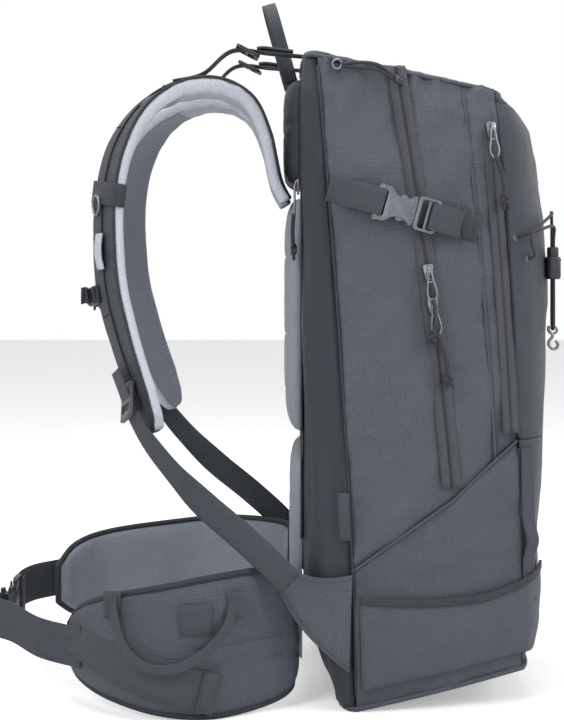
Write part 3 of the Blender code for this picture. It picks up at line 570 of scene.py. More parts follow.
def makeCap(name, v, level, dome, material, node):
    rim = [bagPoint(u, v, 1) for u in [0.6, 0.7, 0.8, 0.9] + spread(1, 3, 16) + spread(3.1, 3.9, 8)]
    first, last = rim[0].y, rim[-1].y
    rows = []
    for point in rim:
        swell = dome * math.sin(math.pi * (first - point.y) / (first - last)) ** 0.5 if dome else 0
        row = []
        for x in spread(-point.x, point.x, 60):
            z = level(point.y - backY) + swell * (1 - (x / point.x) ** 2)
            ruck = 0.0030 * rumple((x, point.y * 1.5, 0), 0.022, 2.5) if dome else 0
            row.append(Vector((x, point.y, z + ruck)))
        rows.append(row)
    piece = addPiece(name, loft(rows), material, "bag")
    faceUp = piece.data.polygons[0].normal.z > 0
    thicken(piece, cloth, 1 if faceUp == bool(dome) else -1)
    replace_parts(piece, node)


def topZ(x, y):
    swell = topDome * max(math.sin(math.pi * y / (-bodyDepth * 0.96)), 0) ** 0.5
    return rimZ(y) + gap + cloth + swell * (1 - (x / halfWidth(y, 1)) ** 2)


makeBag()
makeFrontStrips()
makeCap("bagTop", 1, lambda y: rimZ(y) + gap, topDome, slate, "top_panel")
makeCap("bagBase", 0, lambda y: baseZ(y) - gap, 0, lowerCloth, "bottom_panel")
print("stage: bag panels")


# ---- zips ----

zipWidth = {"main": 0.018, "lid": 0.015}


def zipRow(middle, side, out, width, lift):
    half = width / 2
    profile = [(-1, 0.2), (-0.94, 1.3), (-0.5, 1.6), (-0.2, 1.2), (-0.13, 0.5), (0.13, 0.5), (0.2, 1.2),
               (0.5, 1.6), (0.94, 1.3), (1, 0.2)]
    return [middle + side * half * x + out * (lift + 0.0009 * z) for x, z in profile]


def coilMesh(points, normals, width):
    work = bmesh.new()
    pitch = 0.0016
    travelled = 0.0
    for a, b, out in zip(points, points[1:], normals):
        length = (b - a).length
        ahead = (b - a).normalized()
        side = out.cross(ahead).normalized()
        while travelled < length:
            turn = Matrix((side, ahead, out)).transposed().to_4x4()
            turn.translation = a + ahead * travelled
            bmesh.ops.create_cube(work, size=1, matrix=turn @ Matrix.Diagonal((width, pitch * 0.5, 0.0009, 1)))
            travelled += pitch
        travelled -= length
    return work


def makeMainZip():
    rows = []
    centre = []
    outs = []
    levels = spread(mainZipFoot, 0.985, 60)
    for v in levels:
        middle = bagPoint(2, v, -1)
        out = bagNormal(2, v, -1)
        side = (bagPoint(2.05, v, -1) - bagPoint(1.95, v, -1)).normalized()
        lift = 0.0010 + max(0, sideSwell(2, v, 0.5, middle)) * 0.6
        rows.append(zipRow(middle, side, out, zipWidth["main"], lift))
        centre.append(middle + out * (lift + 0.0008))
        outs.append(out)
    y = mainZipY(1)
    edge = halfWidth(y, 1)
    side = Vector((0, -1, 0))
    corner = Vector((-edge - 0.0016, backY + y, rimZ(y) + 0.0016))
    rows.append(zipRow(corner, side, Vector((-0.8, 0, 0.6)), zipWidth["main"], 0.0008))
    centre.append(corner + Vector((-0.8, 0, 0.6)) * 0.0016)
    outs.append(Vector((-0.8, 0, 0.6)))
    for share in spread(-0.96, 0, 14):
        place = Vector((edge * share, backY + y, topZ(edge * share, y) + 0.0009))
        rows.append(zipRow(place, side, Vector((0, 0, 1)), zipWidth["main"], 0))
        centre.append(place + Vector((0, 0, 0.0008)))
        outs.append(Vector((0, 0, 1)))
    flip = Matrix.Diagonal((-1, 1, 1))
    rows += [[flip @ point for point in row] for row in reversed(rows[:-1])]
    centre += [flip @ point for point in reversed(centre[:-1])]
    outs += [flip @ out for out in reversed(outs[:-1])]
    band = addPiece("mainZipTape", loft(rows), zipTape, "bag")
    thicken(band, 0.0005, 0)
    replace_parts(band, "main_zip")
    addPiece("mainZipCoil", coilMesh(centre, outs, 0.0042), plastic, "bag", smooth=False)


def makeLidZip():
    for name, hand in hands.items():
        rows = []
        centre = []
        outs = []
        for v in spread(lidHinge + 0.012, 0.965, 50):
            middle = bagPoint(2.89, v, hand)
            out = bagNormal(2.89, v, hand)
            side = (bagPoint(2.92, v, hand) - bagPoint(2.86, v, hand)).normalized()
            rows.append(zipRow(middle, side, out, zipWidth["lid"], 0.0008))
            centre.append(middle + out * 0.0014)
            outs.append(out)
        thicken(addPiece("lidZipTape" + name.title(), loft(rows), zipTape, "bag"), 0.0005, 0)
        addPiece("lidZipCoil" + name.title(), coilMesh(centre, outs, 0.0040), plastic, "bag", smooth=False)


makeMainZip()
makeLidZip()
print("stage: zips")


# ---- seams and edges on the bag ----

def seamTube(name, line, lift, radius, material, side, bodyName="bag"):
    points, _ = bagLine(line, lift, side)
    return addPiece(name, tubeMesh(points, radius, 8), material, bodyName)


def seamStitch(name, line, lift, side, material, bodyName="bag", pitch=0.0034):
    points, normals = bagLine(line, lift, side)
    return addPiece(name, stitchMesh(points, normals, pitch), material, bodyName)


seams = {"piping": 0.0013, "stitchGap": 0.0035, "rim": 0.0021}


def makeSeams():
    for name, side in hands.items():
        tag = name.title()
        rise = spread(0.02, 0.985, 80)
        seamTube("rearPiping" + tag, [(1.0, v) for v in rise], 0.0004, seams["piping"], navy, side)
        seamStitch("rearStitch" + tag, [(0.965, v) for v in rise], 0.0008, side, threadDark)
        slope = [(u, diagonal(u)) for u in spread(1.01, 2.98, 60)]
        seamTube("diagonalPiping" + tag, slope, 0.0003, seams["piping"], lowerCloth, side)
        seamStitch("diagonalStitch" + tag, [(u, v + 0.008) for u, v in slope], 0.0012, side, threadDark)
        seamTube("frontSeam" + tag, [(2.66, v) for v in spread(0.37, 0.985, 70)], -0.0002, 0.0012, slate, side)
        seamStitch("frontStitch" + tag, [(2.685, v) for v in spread(0.37, 0.98, 70)], 0.0012, side, threadDark)
        rimLine = [(u, 1.0) for u in spread(0.75, 2.99, 70)]
        points = [bagPoint(u, v, side) + Vector((0, 0, 0.0012 + 0.0008 * rumple((u * 0.3, 0, side), 0.02)))
                  for u, v in rimLine]
        addPiece("rimWelt" + tag, tubeMesh(points, seams["rim"], 10), slate, "bag")
        seamTube("cornerPiping" + tag, [(3.0, v) for v in spread(0.01, 0.385, 40)], 0.0003, 0.0013, lidCloth, side)
        seamTube("lidPiping" + tag, [(3.01, v) for v in spread(0.405, 0.98, 60)], 0.0005, 0.0013, lidCloth,
                 side, "lid")
    baseLine = [bagPoint(abs(u), 0.0, -1 if u < 0 else 1) for u in
                [-3.7, -3.4, -3.2] + [-u for u in spread(1, 3, 24)[::-1]] + [-0.9, -0.8, -0.6, 0, 0.6, 0.8, 0.9]
                + spread(1, 3, 24) + [3.2, 3.4, 3.7]]
    addPiece("baseWelt", tubeMesh(baseLine, 0.0020, 8), lowerCloth, "bag")


pocket = {"lift": 0.0042, "hem": 0.0068, "low": 0.03}


def pocketHem(u):
    return 0.172 - 0.03 * math.sin(math.pi * (u - 1) / 2.5)


def pocketSwell(u, v, share, point):
    gather = 0.0016 * rumple(Vector((0, point.y, point.z * 0.4)), 0.011, 6.0) * share
    bag = 0.0035 * math.sin(math.pi * min(max((u - 1.05) / 2.4, 0), 1)) * math.sin(math.pi * share * 0.8)
    return pocket["lift"] + bag + gather + lowerSwell(u, v, share, point) * 0.6


def makePockets():
    run = spread(1.05, 3.45, 60)
    for name, side in hands.items():
        cup = panel("sidePocket" + name.title(), run, lambda u: pocket["low"], pocketHem, 36, lowerCloth, "bag",
                    pocketSwell, side, 0.0016)
        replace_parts(cup, f"side_pocket_{name}")
        points = []
        turns = []
        for u in run:
            v = pocketHem(u)
            point = bagPoint(u, v, side)
            points.append(point + bagNormal(u, v, side) * (pocketSwell(u, v, 1, point) + 0.0006))
            turns.append(Vector((0, 0, 1)))
        addPiece("pocketHem" + name.title(), webbingMesh(points, turns, pocket["hem"], 0.0026), elastic, "bag")


def makeTabs():
    for name, side in hands.items():
        points, _ = bagLine([(0.97, v) for v in spread(0.262, 0.335, 12)], 0.0030, side)
        bend = [point + Vector((0, 0, 0)) + bagNormal(0.97, 0.3, side) * 0.004 * math.sin(math.pi * i / 12)
                for i, point in enumerate(points)]
        addPiece("seamTab" + name.title(), webbingMesh(bend, [Vector((0, 1, 0))] * 13, 0.010, 0.0018), tape, "bag")
        line = [(3.12, v) for v in spread(0.385, 0.075, 50)]
        points, normals = bagLine(line, 0.0022, side)
        hump = []
        for index, (point, normal) in enumerate(zip(points, normals)):
            share = index / 50
            lift = 0.006 * math.exp(-((share - 0.52) / 0.07) ** 2) + 0.003 * math.exp(-((share - 0.86) / 0.04) ** 2)
            hump.append(point + normal * lift)
        turns = [normal.cross(Vector((0, 0, 1))) for normal in normals]
        addPiece("gearTape" + name.title(), webbingMesh(hump, turns, 0.014, 0.0017), tape, "bag")


# ---- pads against the wearer ----

def padMesh(centre, size, channels, seed):
    width, height, thick = size
    rows = []
    for level in spread(-1, 1, 64):
        end = max(1 - abs(level) ** 7, 0) ** 0.5
        half = width / 2 * (0.90 + 0.10 * end)
        face = []
        for x in spread(-1, 1, 40):
            crown = max(1 - abs(x) ** 6, 0) ** 0.5 * end
            groove = sum(0.0022 * math.exp(-((level * height / 2 - z - abs(x) * 0.008) / 0.0035) ** 2)
                         for z in channels)
            ruck = 0.0005 * rumple((x * width, level * height, seed), 0.02)
            face.append(centre + Vector((x * half, (thick - groove) * crown + ruck * crown,
                                         level * height / 2 * (0.97 + 0.03 * crown))))
        back = [centre + Vector((x * half, 0.0002, level * height / 2 * 0.97)) for x in (0.9, 0.5, 0, -0.5, -0.9)]
        rows.append(face + back)
    work = loft(rows, closed=True)
    work.verts.ensure_lookup_table()
    count = len(rows[0])
    for row in (0, len(rows) - 1):
        work.faces.new([work.verts[row * count + index] for index in range(count)])
    return work


def makePads():
    layout = {
        "backPad": ("back_pad", mesh, (0.052, -0.024, -0.078)),
        "lumbarPad": ("lumbar_pad", mesh, (0.045, -0.040)),
        "yokePad": ("shoulder_yoke", navy, (0.0,)),
    }
    for name, (node, material, channels) in layout.items():
        low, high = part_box(node)
        centre = Vector(((low[0] + high[0]) / 2, low[1], (low[2] + high[2]) / 2))
        size = (high[0] - low[0], high[2] - low[2], high[1] - low[1])
        piece = addPiece(name, padMesh(centre, size, channels, len(name)), material, "bag")
        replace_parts(piece, node)


# ---- shoulder straps ----

strap = {"width": 0.062, "thickness": 0.012, "daisy": 0.020}
strapPath = [
    (0.0555, 0.0145, 0.458), (0.056, 0.0241, 0.478), (0.057, 0.0335, 0.520), (0.059, 0.050, 0.552), (0.063, 0.080, 0.567),
    (0.068, 0.115, 0.563), (0.074, 0.147, 0.543), (0.080, 0.170, 0.508), (0.084, 0.180, 0.465),
    (0.088, 0.181, 0.420), (0.092, 0.177, 0.375), (0.098, 0.165, 0.330), (0.106, 0.149, 0.285),
    (0.114, 0.133, 0.247),
]
strapTilt = [(0, 0), (0.3, 4), (0.5, 24), (0.75, 28), (1, 26)]
strapHalf = [(0, 0.85), (0.15, 1), (0.8, 1), (0.93, 0.86), (0.975, 0.62), (0.993, 0.38), (1, 0.2)]
spine = curvePath(strapPath, 10)


# share runs from the strap's root in the CAD, 0, to its tip, 1; the sewn-in end lies below 0.
def strapFrame(share):
    place = (min(max(share, -1 / 12), 1) * 12 + 1) * (len(spine) - 1) / 13
    index = min(int(place), len(spine) - 2)
    middle = spine[index].lerp(spine[index + 1], place - index)
    along = (spine[min(index + 3, len(spine) - 1)] - spine[max(index - 2, 0)]).normalized()
    tilt = math.radians(steady(share, strapTilt))
    across = Vector((math.cos(tilt), -math.sin(tilt), 0))
    across = (across - along * across.dot(along)).normalized()
    return middle, along, across, across.cross(along).normalized()


def worn(point, side):
    return Vector((side * point[0], backY + point[1], point[2]))


def turned(direction, side):
    return Vector((side * direction[0], direction[1], direction[2]))


def onStrap(share, t, lift, side):
    middle, _, across, out = strapFrame(share)
    half = strap["width"] / 2 * steady(share, strapHalf)
    return worn(middle + across * half * t + out * (lift - 0.0025 * t * t), side)


# One ring of the strap, from its inner edge round the outer face: (across, off, layer).
strapRing = [
    (-0.96, 4.4, 0), (-0.8, 5.7, 0), (-0.4, 6.0, 0), (0, 6.0, 0), (0.4, 6.0, 0), (0.8, 5.9, 0), (0.97, 5.2, 1),
    (1.02, 3.4, 1), (1.03, 0.6, 1), (1.00, -2.4, 1), (0.93, -4.6, 2), (0.75, -5.8, 2), (0.4, -6.0, 2),
    (0, -6.0, 2), (-0.4, -6.0, 2), (-0.75, -5.8, 2), (-0.93, -4.6, 1), (-1.00, -2.4, 1), (-1.03, 0.6, 1),
    (-1.01, 3.0, 1),
]


def makeShoulderStraps():
    steps = 150
    for name, side in hands.items():
        rows = []
        for share in spread(-1 / 12, 1, steps):
            row = []
            fold = math.exp(-((share - 0.28) / 0.16) ** 2)
            for x, off, layer in strapRing:
                crease = 0
                if layer:
                    crease = 0.0020 * fold * noise.noise(Vector((share * 46, x * 1.3 + off * 0.1, side * 3)))
                crease += 0.0005 * noise.noise(Vector((share * 30, x * 3, off)))
                deep = off * 0.001 * (1 + 0.85 * fold if off < 0 else 1)
                row.append(onStrap(share, x, deep + crease * (1 if off > 0 else -1), side))
            rows.append(row)
        work = loft(rows, closed=True)
        work.verts.ensure_lookup_table()
        count = len(strapRing)
        for row in (0, steps):
            work.faces.new([work.verts[row * count + index] for index in range(count)])
        piece = addPiece("shoulderStrap" + name.title(), work, strapCloth, "bag")
        piece.data.materials.append(pale)
        piece.data.materials.append(mesh)
        piece.data.materials.append(archLiningPaintedLight)
        for index, face in enumerate(piece.data.polygons):
            layer = strapRing[index % count][2] if index < steps * count else 0
            # The inner face from the root over the arch takes the lighter lining: painted light over the shade there.
            face.material_index = 3 if layer == 2 and index < 0.40 * steps * count else layer
        soften(piece)
        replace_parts(piece, f"shoulder_strap_{name}")
        edge = [onStrap(share, 0.98, 0.0060, side) for share in spread(0.01, 0.985, 130)]
        outs = [turned(strapFrame(share)[3], side) for share in spread(0.01, 0.985, 130)]
        addPiece("strapBinding" + name.title(), tubeMesh(edge, 0.0014, 8), binding, "bag")
        inner = [onStrap(share, 0.985, 0.0052, side) for share in spread(0.01, 0.985, 130)]
        addPiece("strapStitch" + name.title(), stitchMesh(inner, outs, 0.0030, 0.0007), threadPale, "bag")
        shares = spread(0.20, 0.95, 90)
        strip = [onStrap(share, -0.1, 0.0070, side) for share in shares]
        turns = [turned(strapFrame(share)[2], side) for share in shares]
        addPiece("strapTape" + name.title(), webbingMesh(strip, turns, strap["daisy"], 0.0014), tape, "bag")
        for share in (0.36, 0.47, 0.66, 0.79):
            makeBartack(f"strapBar{name.title()}{int(share * 100)}", onStrap(share, -0.1, 0.0080, side),
                        turned(strapFrame(share)[2], side), turned(strapFrame(share)[3], side), strap["daisy"])


def makeBartack(name, place, across, out, width, bodyName="bag"):
    side = across.normalized()
    points = [place + side * width * 0.44 * t for t in (-1, -0.5, 0, 0.5, 1)]
    return addPiece(name, stitchMesh(points, [out] * 5, 0.0016, 0.0006), threadDark, bodyName)


def soften(piece, levels=1):
    modifier = piece.modifiers.new("soft", "SUBSURF")
    modifier.levels = levels
    modifier.render_levels = levels
    return piece


ringShare = 0.585


def makeStrapExtras():
    middle, along, across, out = strapFrame(ringShare)
    half = strap["width"] / 2 + 0.0030
    deep = strap["thickness"] / 2 + 0.0022
    loop = [(half * math.copysign(abs(math.cos(a)) ** 0.55, math.cos(a)),
             deep * math.copysign(abs(math.sin(a)) ** 0.75, math.sin(a)) - 0.0012) for a in spread(0.3, 2 * math.pi + 0.3, 48)]
    points = [worn(middle + across * x + out * z + along * 0.12 * x, -1) for x, z in loop]
    band = addPiece("ringKeeper", webbingMesh(points, [turned(along, -1)] * len(points), 0.021, 0.0013), elastic, "bag")
    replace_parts(band, "ring_keeper")
    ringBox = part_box("strap_ring")
    centre = (Vector(ringBox[0]) + Vector(ringBox[1])) / 2
    tilt = turned(across, -1)
    wide = Vector((tilt.x, tilt.y, 0)).normalized()
    circle = [centre + wide * 0.0088 * math.cos(a) + Vector((0, 0, 0.0088 * math.sin(a)))
              for a in spread(0, 2 * math.pi, 32)[:-1]]
    piece = addPiece("strapRing", tubeMesh(circle, 0.0013, 10, True), metal, "strap_ring")
    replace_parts(piece, "strap_ring")
    shares = spread(0.655, 0.715, 12)
    tab = [onStrap(s, 0.2, 0.0088 + 0.002 * math.sin(math.pi * i / 12), -1) for i, s in enumerate(shares)]
    addPiece("strapTab", webbingMesh(tab, [turned(across, -1)] * 13, 0.016, 0.0020), pale, "bag")


# ---- moulded hardware ----

# A plate cut to an outline with holes, in local X and Y, thickened along Z and with its rims rounded.
def plateMesh(outer, holes, thickness, rounding, segments=2):
    work = bmesh.new()
    edges = []
    for ring in [outer, *holes]:
        corners = [work.verts.new((x, y, -thickness / 2)) for x, y in ring]
        edges += [work.edges.new((a, b)) for a, b in zip(corners, corners[1:] + corners[:1])]
    bmesh.ops.triangle_fill(work, use_beauty=True, edges=edges, normal=(0, 0, 1))
    bmesh.ops.dissolve_limit(work, angle_limit=0.01, verts=work.verts, edges=work.edges)
    made = bmesh.ops.extrude_face_region(work, geom=work.faces[:])
    top = [item for item in made["geom"] if isinstance(item, bmesh.types.BMVert)]
    bmesh.ops.translate(work, verts=top, vec=(0, 0, thickness))
    bmesh.ops.recalc_face_normals(work, faces=work.faces)
    rims = [edge for edge in work.edges if len(edge.link_faces) == 2
            and edge.calc_face_angle(0) > 1.2 and abs(edge.verts[0].co.z - edge.verts[1].co.z) < 1e-6]
    bmesh.ops.bevel(work, geom=rims, offset=rounding, offset_type="OFFSET", affect="EDGES", segments=segments,
                    profile=0.5, material=-1, clamp_overlap=True)
    return work


def roundRect(x0, x1, half, radius, steps=4):
    found = []
    corners = ((x1 - radius, half - radius, 0), (x0 + radius, half - radius, 1),
               (x0 + radius, radius - half, 2), (x1 - radius, radius - half, 3))
    for x, y, quarter in corners:
        for a in spread(quarter * math.pi / 2, (quarter + 1) * math.pi / 2, steps):
            found.append((x + radius * math.cos(a), y + radius * math.sin(a)))
    return found


def placed(work, frame):
    bmesh.ops.transform(work, matrix=frame, verts=work.verts)
    return work


def localFrame(location, along, out):
    x = Vector(along).normalized()
    z = Vector(out)
    z = (z - x * z.dot(x)).normalized()
    frameMatrix = Matrix((x, z.cross(x), z)).transposed().to_4x4()
    frameMatrix.translation = location
    return frameMatrix


def joined(*works):
    total = works[0]
    for other in works[1:]:
        data = bpy.data.meshes.new("joining")
        other.to_mesh(data)
        other.free()
        total.from_mesh(data)
        bpy.data.meshes.remove(data)
    return total


buckle = {"length": 0.036, "thick": 0.009, "wall": 0.0018, "play": 0.0004, "tail": 0.022, "size": 0.025}


def smoothOutline(points, steps=4):
    ring = [Vector((x, y, 0)) for x, y in points]
    count = len(ring)
    found = []
    for index in range(count):
        a, b, c, d = (ring[(index + offset) % count] for offset in (-1, 0, 1, 2))
        for step in range(steps):
            t = step / steps
            point = 0.5 * (b * 2 + (c - a) * t + (a * 2 - b * 5 + c * 4 - d) * t * t
                           + (b * 3 - a - c * 3 + d) * t ** 3)
            found.append((point.x, point.y))
    return found


def femaleMesh(width):
    half = width / 2
    length = buckle["length"] * width / buckle["size"]
    waist = [(-0.50, half + 0.002), (-0.36, half + 0.0032), (-0.20, half + 0.0028), (-0.05, half * 0.84),
             (0.10, half * 0.72), (0.26, half * 0.74), (0.38, half * 0.92), (0.46, half + 0.001),
             (0.50, half * 0.86), (0.455, half * 0.45), (0.44, 0)]
    shape = [(length * x, y) for x, y in waist] + [(length * x, -y) for x, y in waist[-2::-1]]
    slot = roundRect(-length * 0.34 - 0.0026, -length * 0.34 + 0.0026, half * 0.92, 0.0014, 2)
    wall = buckle["wall"]
    level = buckle["thick"] / 2 - wall / 2
    plates = []
    for z in (level, -level):
        plate = plateMesh(smoothOutline(shape, 3), [slot], wall, 0.0006)
        plates.append(placed(plate, Matrix.Translation((0, 0, z))))
    rear = [(-length * 0.5, -half), (-length * 0.5, half), (-length * 0.16, half * 0.9), (-length * 0.16, -half * 0.9)]
    block = plateMesh(rear, [slot], buckle["thick"] - wall, 0.0006)
    spineBar = plateMesh([(-length * 0.2, -half * 0.1), (length * 0.36, -half * 0.06),
                          (length * 0.36, half * 0.06), (-length * 0.2, half * 0.1)], [], wall, 0.0004)
    return joined(*plates, block, placed(spineBar, Matrix.Translation((0, 0, level - wall))))


def maleMesh(width):
    half = width / 2
    length = buckle["length"] * width / buckle["size"]
    tongue = length * 0.46
    tail = buckle["tail"]
    armOut = half * 0.98
    thick = buckle["thick"] - 2 * buckle["wall"] - 2 * buckle["play"]
    arms = [(0.001, half * 0.86), (-tongue * 0.3, half * 0.78), (-tongue * 0.55, half * 0.84),
            (-tongue * 0.72, armOut), (-tongue * 0.95, armOut * 0.93), (-tongue, armOut * 0.78),
            (-tongue * 0.8, half * 0.62), (-tongue * 0.4, half * 0.56), (-0.002, half * 0.58)]
    guide = [(-0.002, half * 0.2), (-tongue * 0.7, half * 0.13), (-tongue * 0.85, 0)]
    upper = arms + guide
    fork = upper + [(x, -y) for x, y in upper[-2::-1]]
    tines = plateMesh(fork, [], thick, 0.0008)
    frameRing = roundRect(0.0008, tail, half + 0.003, 0.0035)
    window = roundRect(0.0050, tail - 0.0036, half + 0.0002, 0.0018, 2)
    ring = plateMesh(frameRing, [window], thick + 0.001, 0.0011)
    bar = plateMesh(roundRect(0.0105, 0.0140, half + 0.001, 0.001, 2), [], thick * 0.5, 0.0007)
    return joined(tines, ring, bar)


def makeBuckle(tag, node, width, frameMatrix, material, bodies):
    length = buckle["length"] * width / buckle["size"]
    male = addPiece(f"{tag}Male", placed(maleMesh(width), frameMatrix), material, bodies[1], smooth=False)
    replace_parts(male, node.format("male"))
    shift = frameMatrix @ Matrix.Translation((-length / 2 - buckle["play"], 0, 0))
    female = addPiece(f"{tag}Female", placed(femaleMesh(width), shift), material, bodies[0], smooth=False)
    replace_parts(female, node.format("female"))
    for piece in (male, female):
        piece.data.shade_smooth()
        piece.data.set_sharp_from_angle(angle=math.radians(38))
    bar = -length - buckle["play"]
    return (loopRound(bar, bar + length * 0.16 - 0.0025, buckle["thick"] / 2, 0.012, -1),
            loopRound(buckle["tail"] - 0.004, buckle["tail"], buckle["thick"] / 2 - buckle["wall"], 0.012, 1))


webbing = {"width": 0.025, "thick": 0.0016, "hip": 0.038, "sternum": 0.016}


def loopRound(barFrom, barTo, halfThick, reach, sign):
    lift = halfThick + webbing["thick"] / 2 + buckle["play"]
    slot = (barFrom if sign > 0 else barTo) - sign * 0.0025
    far = (barTo if sign > 0 else barFrom) + sign * reach
    return [(far, lift), (slot + sign * 0.0012, lift), (slot, lift - 0.0016), (slot, -lift + 0.0016),
            (slot + sign * 0.0012, -lift), (far - sign * reach * 0.35, -lift)]


def loopedWebbing(name, node, frameMatrix, local, tail, width, bodyName, tailAcross=None):
    points = [frameMatrix @ Vector((x, 0, z)) for x, z in reversed(local)] + [Vector(point) for point in tail]
    y = frameMatrix.to_3x3() @ Vector((0, 1, 0))
    turns = [y] * len(local) + [Vector(turn) for turn in (tailAcross or [y] * len(tail))]
    path = curvePath(points, 5)
    smoothTurns = curvePath(turns, 5)
    piece = addPiece(name, webbingMesh(path, smoothTurns, width - 2 * buckle["play"], webbing["thick"]), tape, bodyName)
    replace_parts(piece, node)
    return piece


def sideX(y, z):
    v = 0.5
    for _ in range(12):
        v += (z - (baseZ(y) + (rimZ(y) - baseZ(y)) * v)) / bodyHeight
    return halfWidth(y, v)


sideStrap = {"pitch": math.radians(-15.5), "buckleY": -0.0985, "rear": (-0.022, 0.467), "front": (-0.158, 0.430)}


def makeSideStraps():
    lift = buckle["thick"] / 2 + webbing["thick"] + buckle["play"] + 0.0022
    slope = -math.tan(sideStrap["pitch"])
    for name, side in hands.items():
        tag = name.title()
        y = sideStrap["buckleY"]
        z = sideStrap["rear"][1] + (y - sideStrap["rear"][0]) * slope
        run = (sideX(y - 0.03, z) - sideX(y + 0.04, z)) / 0.07
        frameMatrix = localFrame(worn((sideX(y, z) + lift, y, z), side), (side * run, -1, -slope), (side, 0, 0))
        loops = makeBuckle("sideBuckle" + tag, "side_buckle_{}_" + name, webbing["width"], frameMatrix,
                           buckleGrey, ("bag", f"side_release_{name}"))
        skin = webbing["thick"] / 2 + 2 * gap
        across = frameMatrix.to_3x3() @ Vector((0, 1, 0))
        y0, z0 = sideStrap["rear"]
        y1, z1 = sideStrap["front"]
        rear = [worn((sideX(y0 - 0.008, z0) + skin, y0 - 0.008, z0 - 0.002), side),
                worn((sideX(y0, z0) + skin, y0, z0), side)]
        front = [worn((sideX(y1 + 0.010, z1) + skin, y1 + 0.010, z1 + 0.003), side),
                 worn((sideX(y1, z1) + skin, y1, z1), side)]
        loopedWebbing("sideStrapRear" + tag, f"side_strap_rear_{name}", frameMatrix, loops[0], rear,
                      webbing["width"], "bag")
        loopedWebbing("sideStrapFront" + tag, f"side_strap_front_{name}", frameMatrix, loops[1], front,
                      webbing["width"], f"side_release_{name}")
        keeperX = sideX(-0.146, 0.436) + 0.0055
        loop = [worn((keeperX + 0.0026 * math.sin(a), -0.146, 0.4355 + 0.0145 * math.cos(a)), side)
                for a in spread(0, 2 * math.pi, 24)]
        addPiece("strapKeeper" + tag, webbingMesh(loop, [Vector((0, 1, 0.27))] * 25, 0.009, 0.0014), elastic,
                 f"side_release_{name}")


hipBuckle = {"y": 0.283, "z": 0.066}
finReach = {"left": 0.216, "right": 0.250}
finThick = 0.013


def makeHipStrap():
    frameMatrix = localFrame(worn((0.014, hipBuckle["y"], hipBuckle["z"]), 1), (1, 0, 0), (0, 1, 0))
    loops = makeBuckle("hipBuckle", "hip_buckle_{}", webbing["hip"], frameMatrix, plastic, ("bag", "hip_release"))
    reach = finReach["left"]
    y = hipBuckle["y"]
    left = [(-0.064, y - 0.012, 0.063), (-0.080, reach + 0.030, 0.054), (-0.092, reach + 0.0035, 0.050),
            (-0.110, reach - 0.0145, 0.052)]
    loopedWebbing("hipWebbingLeft", "hip_webbing_left", frameMatrix, loops[0], [worn(p, 1) for p in left],
                  webbing["hip"], "bag", [(0, 0, -1)] * 4)
    reach = finReach["right"]
    skin = finThick / 2 + webbing["thick"] + buckle["play"]
    right = [(0.068, y + 0.0015, 0.067), (0.084, reach + skin + 0.016, 0.069), (0.100, reach + skin - 0.003, 0.070),
             (0.116, reach - 0.010, 0.070)]
    loopedWebbing("hipWebbingRight", "hip_webbing_right", frameMatrix, loops[1], [worn(p, 1) for p in right],
                  webbing["hip"], "hip_release", [(0, 0, -1)] * 4)


sternumSlider = (0.024, 0.016, 0.007)


def makeSternum():
    middle, along, across, out = strapFrame(0.752)
    seat = middle - across * 0.017 + out * (strap["thickness"] / 2 + sternumSlider[2] / 2 + gap / 2)
    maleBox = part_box("sternum_buckle_male")
    webY = (maleBox[0][1] + maleBox[1][1]) / 2
    height = (maleBox[0][2] + maleBox[1][2]) / 2
    frameMatrix = localFrame((0.006, webY, height), (1, 0, 0), (0, 1, 0))
    loops = makeBuckle("sternumBuckle", "sternum_buckle_{}", webbing["sternum"], frameMatrix, plastic,
                       ("sternum", "sternum_release"))
    lineY = webY + buckle["thick"] / 2 + webbing["thick"] / 2 + buckle["play"]
    for name, side in hands.items():
        low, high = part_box(f"sternum_slider_{name}")
        place = (Vector(low) + Vector(high)) / 2
        frameHere = localFrame(place, turned(across, side), turned(out, side))
        plate = plateMesh(roundRect(-0.012, 0.012, 0.0085, 0.003), [roundRect(-0.0085, -0.005, 0.0060, 0.001, 2),
                          roundRect(0.005, 0.0085, 0.0060, 0.001, 2)], 0.0042, 0.0012)
        clip = plateMesh(roundRect(-0.0045, 0.0045, 0.0080, 0.002), [], 0.0070, 0.0018)
        piece = addPiece("sternumSlider" + name.title(), placed(joined(plate, clip), frameHere), plastic, "sternum")
        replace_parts(piece, f"sternum_slider_{name}")
        loop = loops[1] if side > 0 else loops[0]
        tail = [(side * 0.060, lineY, place.z), (side * (abs(place.x) + 0.010), lineY, place.z)]
        loopedWebbing("sternumWebbing" + name.title(), f"sternum_webbing_{name}", frameMatrix, loop, tail,
                      webbing["sternum"], "sternum_release" if side > 0 else "sternum", [(0, 0, -1)] * 2)


def ladderLock(width, length):
    half = width / 2
    rim = roundRect(-length / 2, length / 2, half + 0.0034, 0.0032)
    first = roundRect(-length * 0.30, -length * 0.06, half + 0.0004, 0.0014, 2)
    second = roundRect(length * 0.08, length * 0.30, half + 0.0004, 0.0014, 2)
    return plateMesh(rim, [first, second], 0.0032, 0.0011)


plateTilt = math.radians(24)


def leaning(along, out):
    along = Vector(along).normalized()
    out = Vector(out)
    out = (out - along * out.dot(along)).normalized()
    return (along * math.cos(plateTilt) + out * math.sin(plateTilt),
            out * math.cos(plateTilt) - along * math.sin(plateTilt))


lifter = {"spacing": 0.052, "share": 0.28, "width": 0.020}


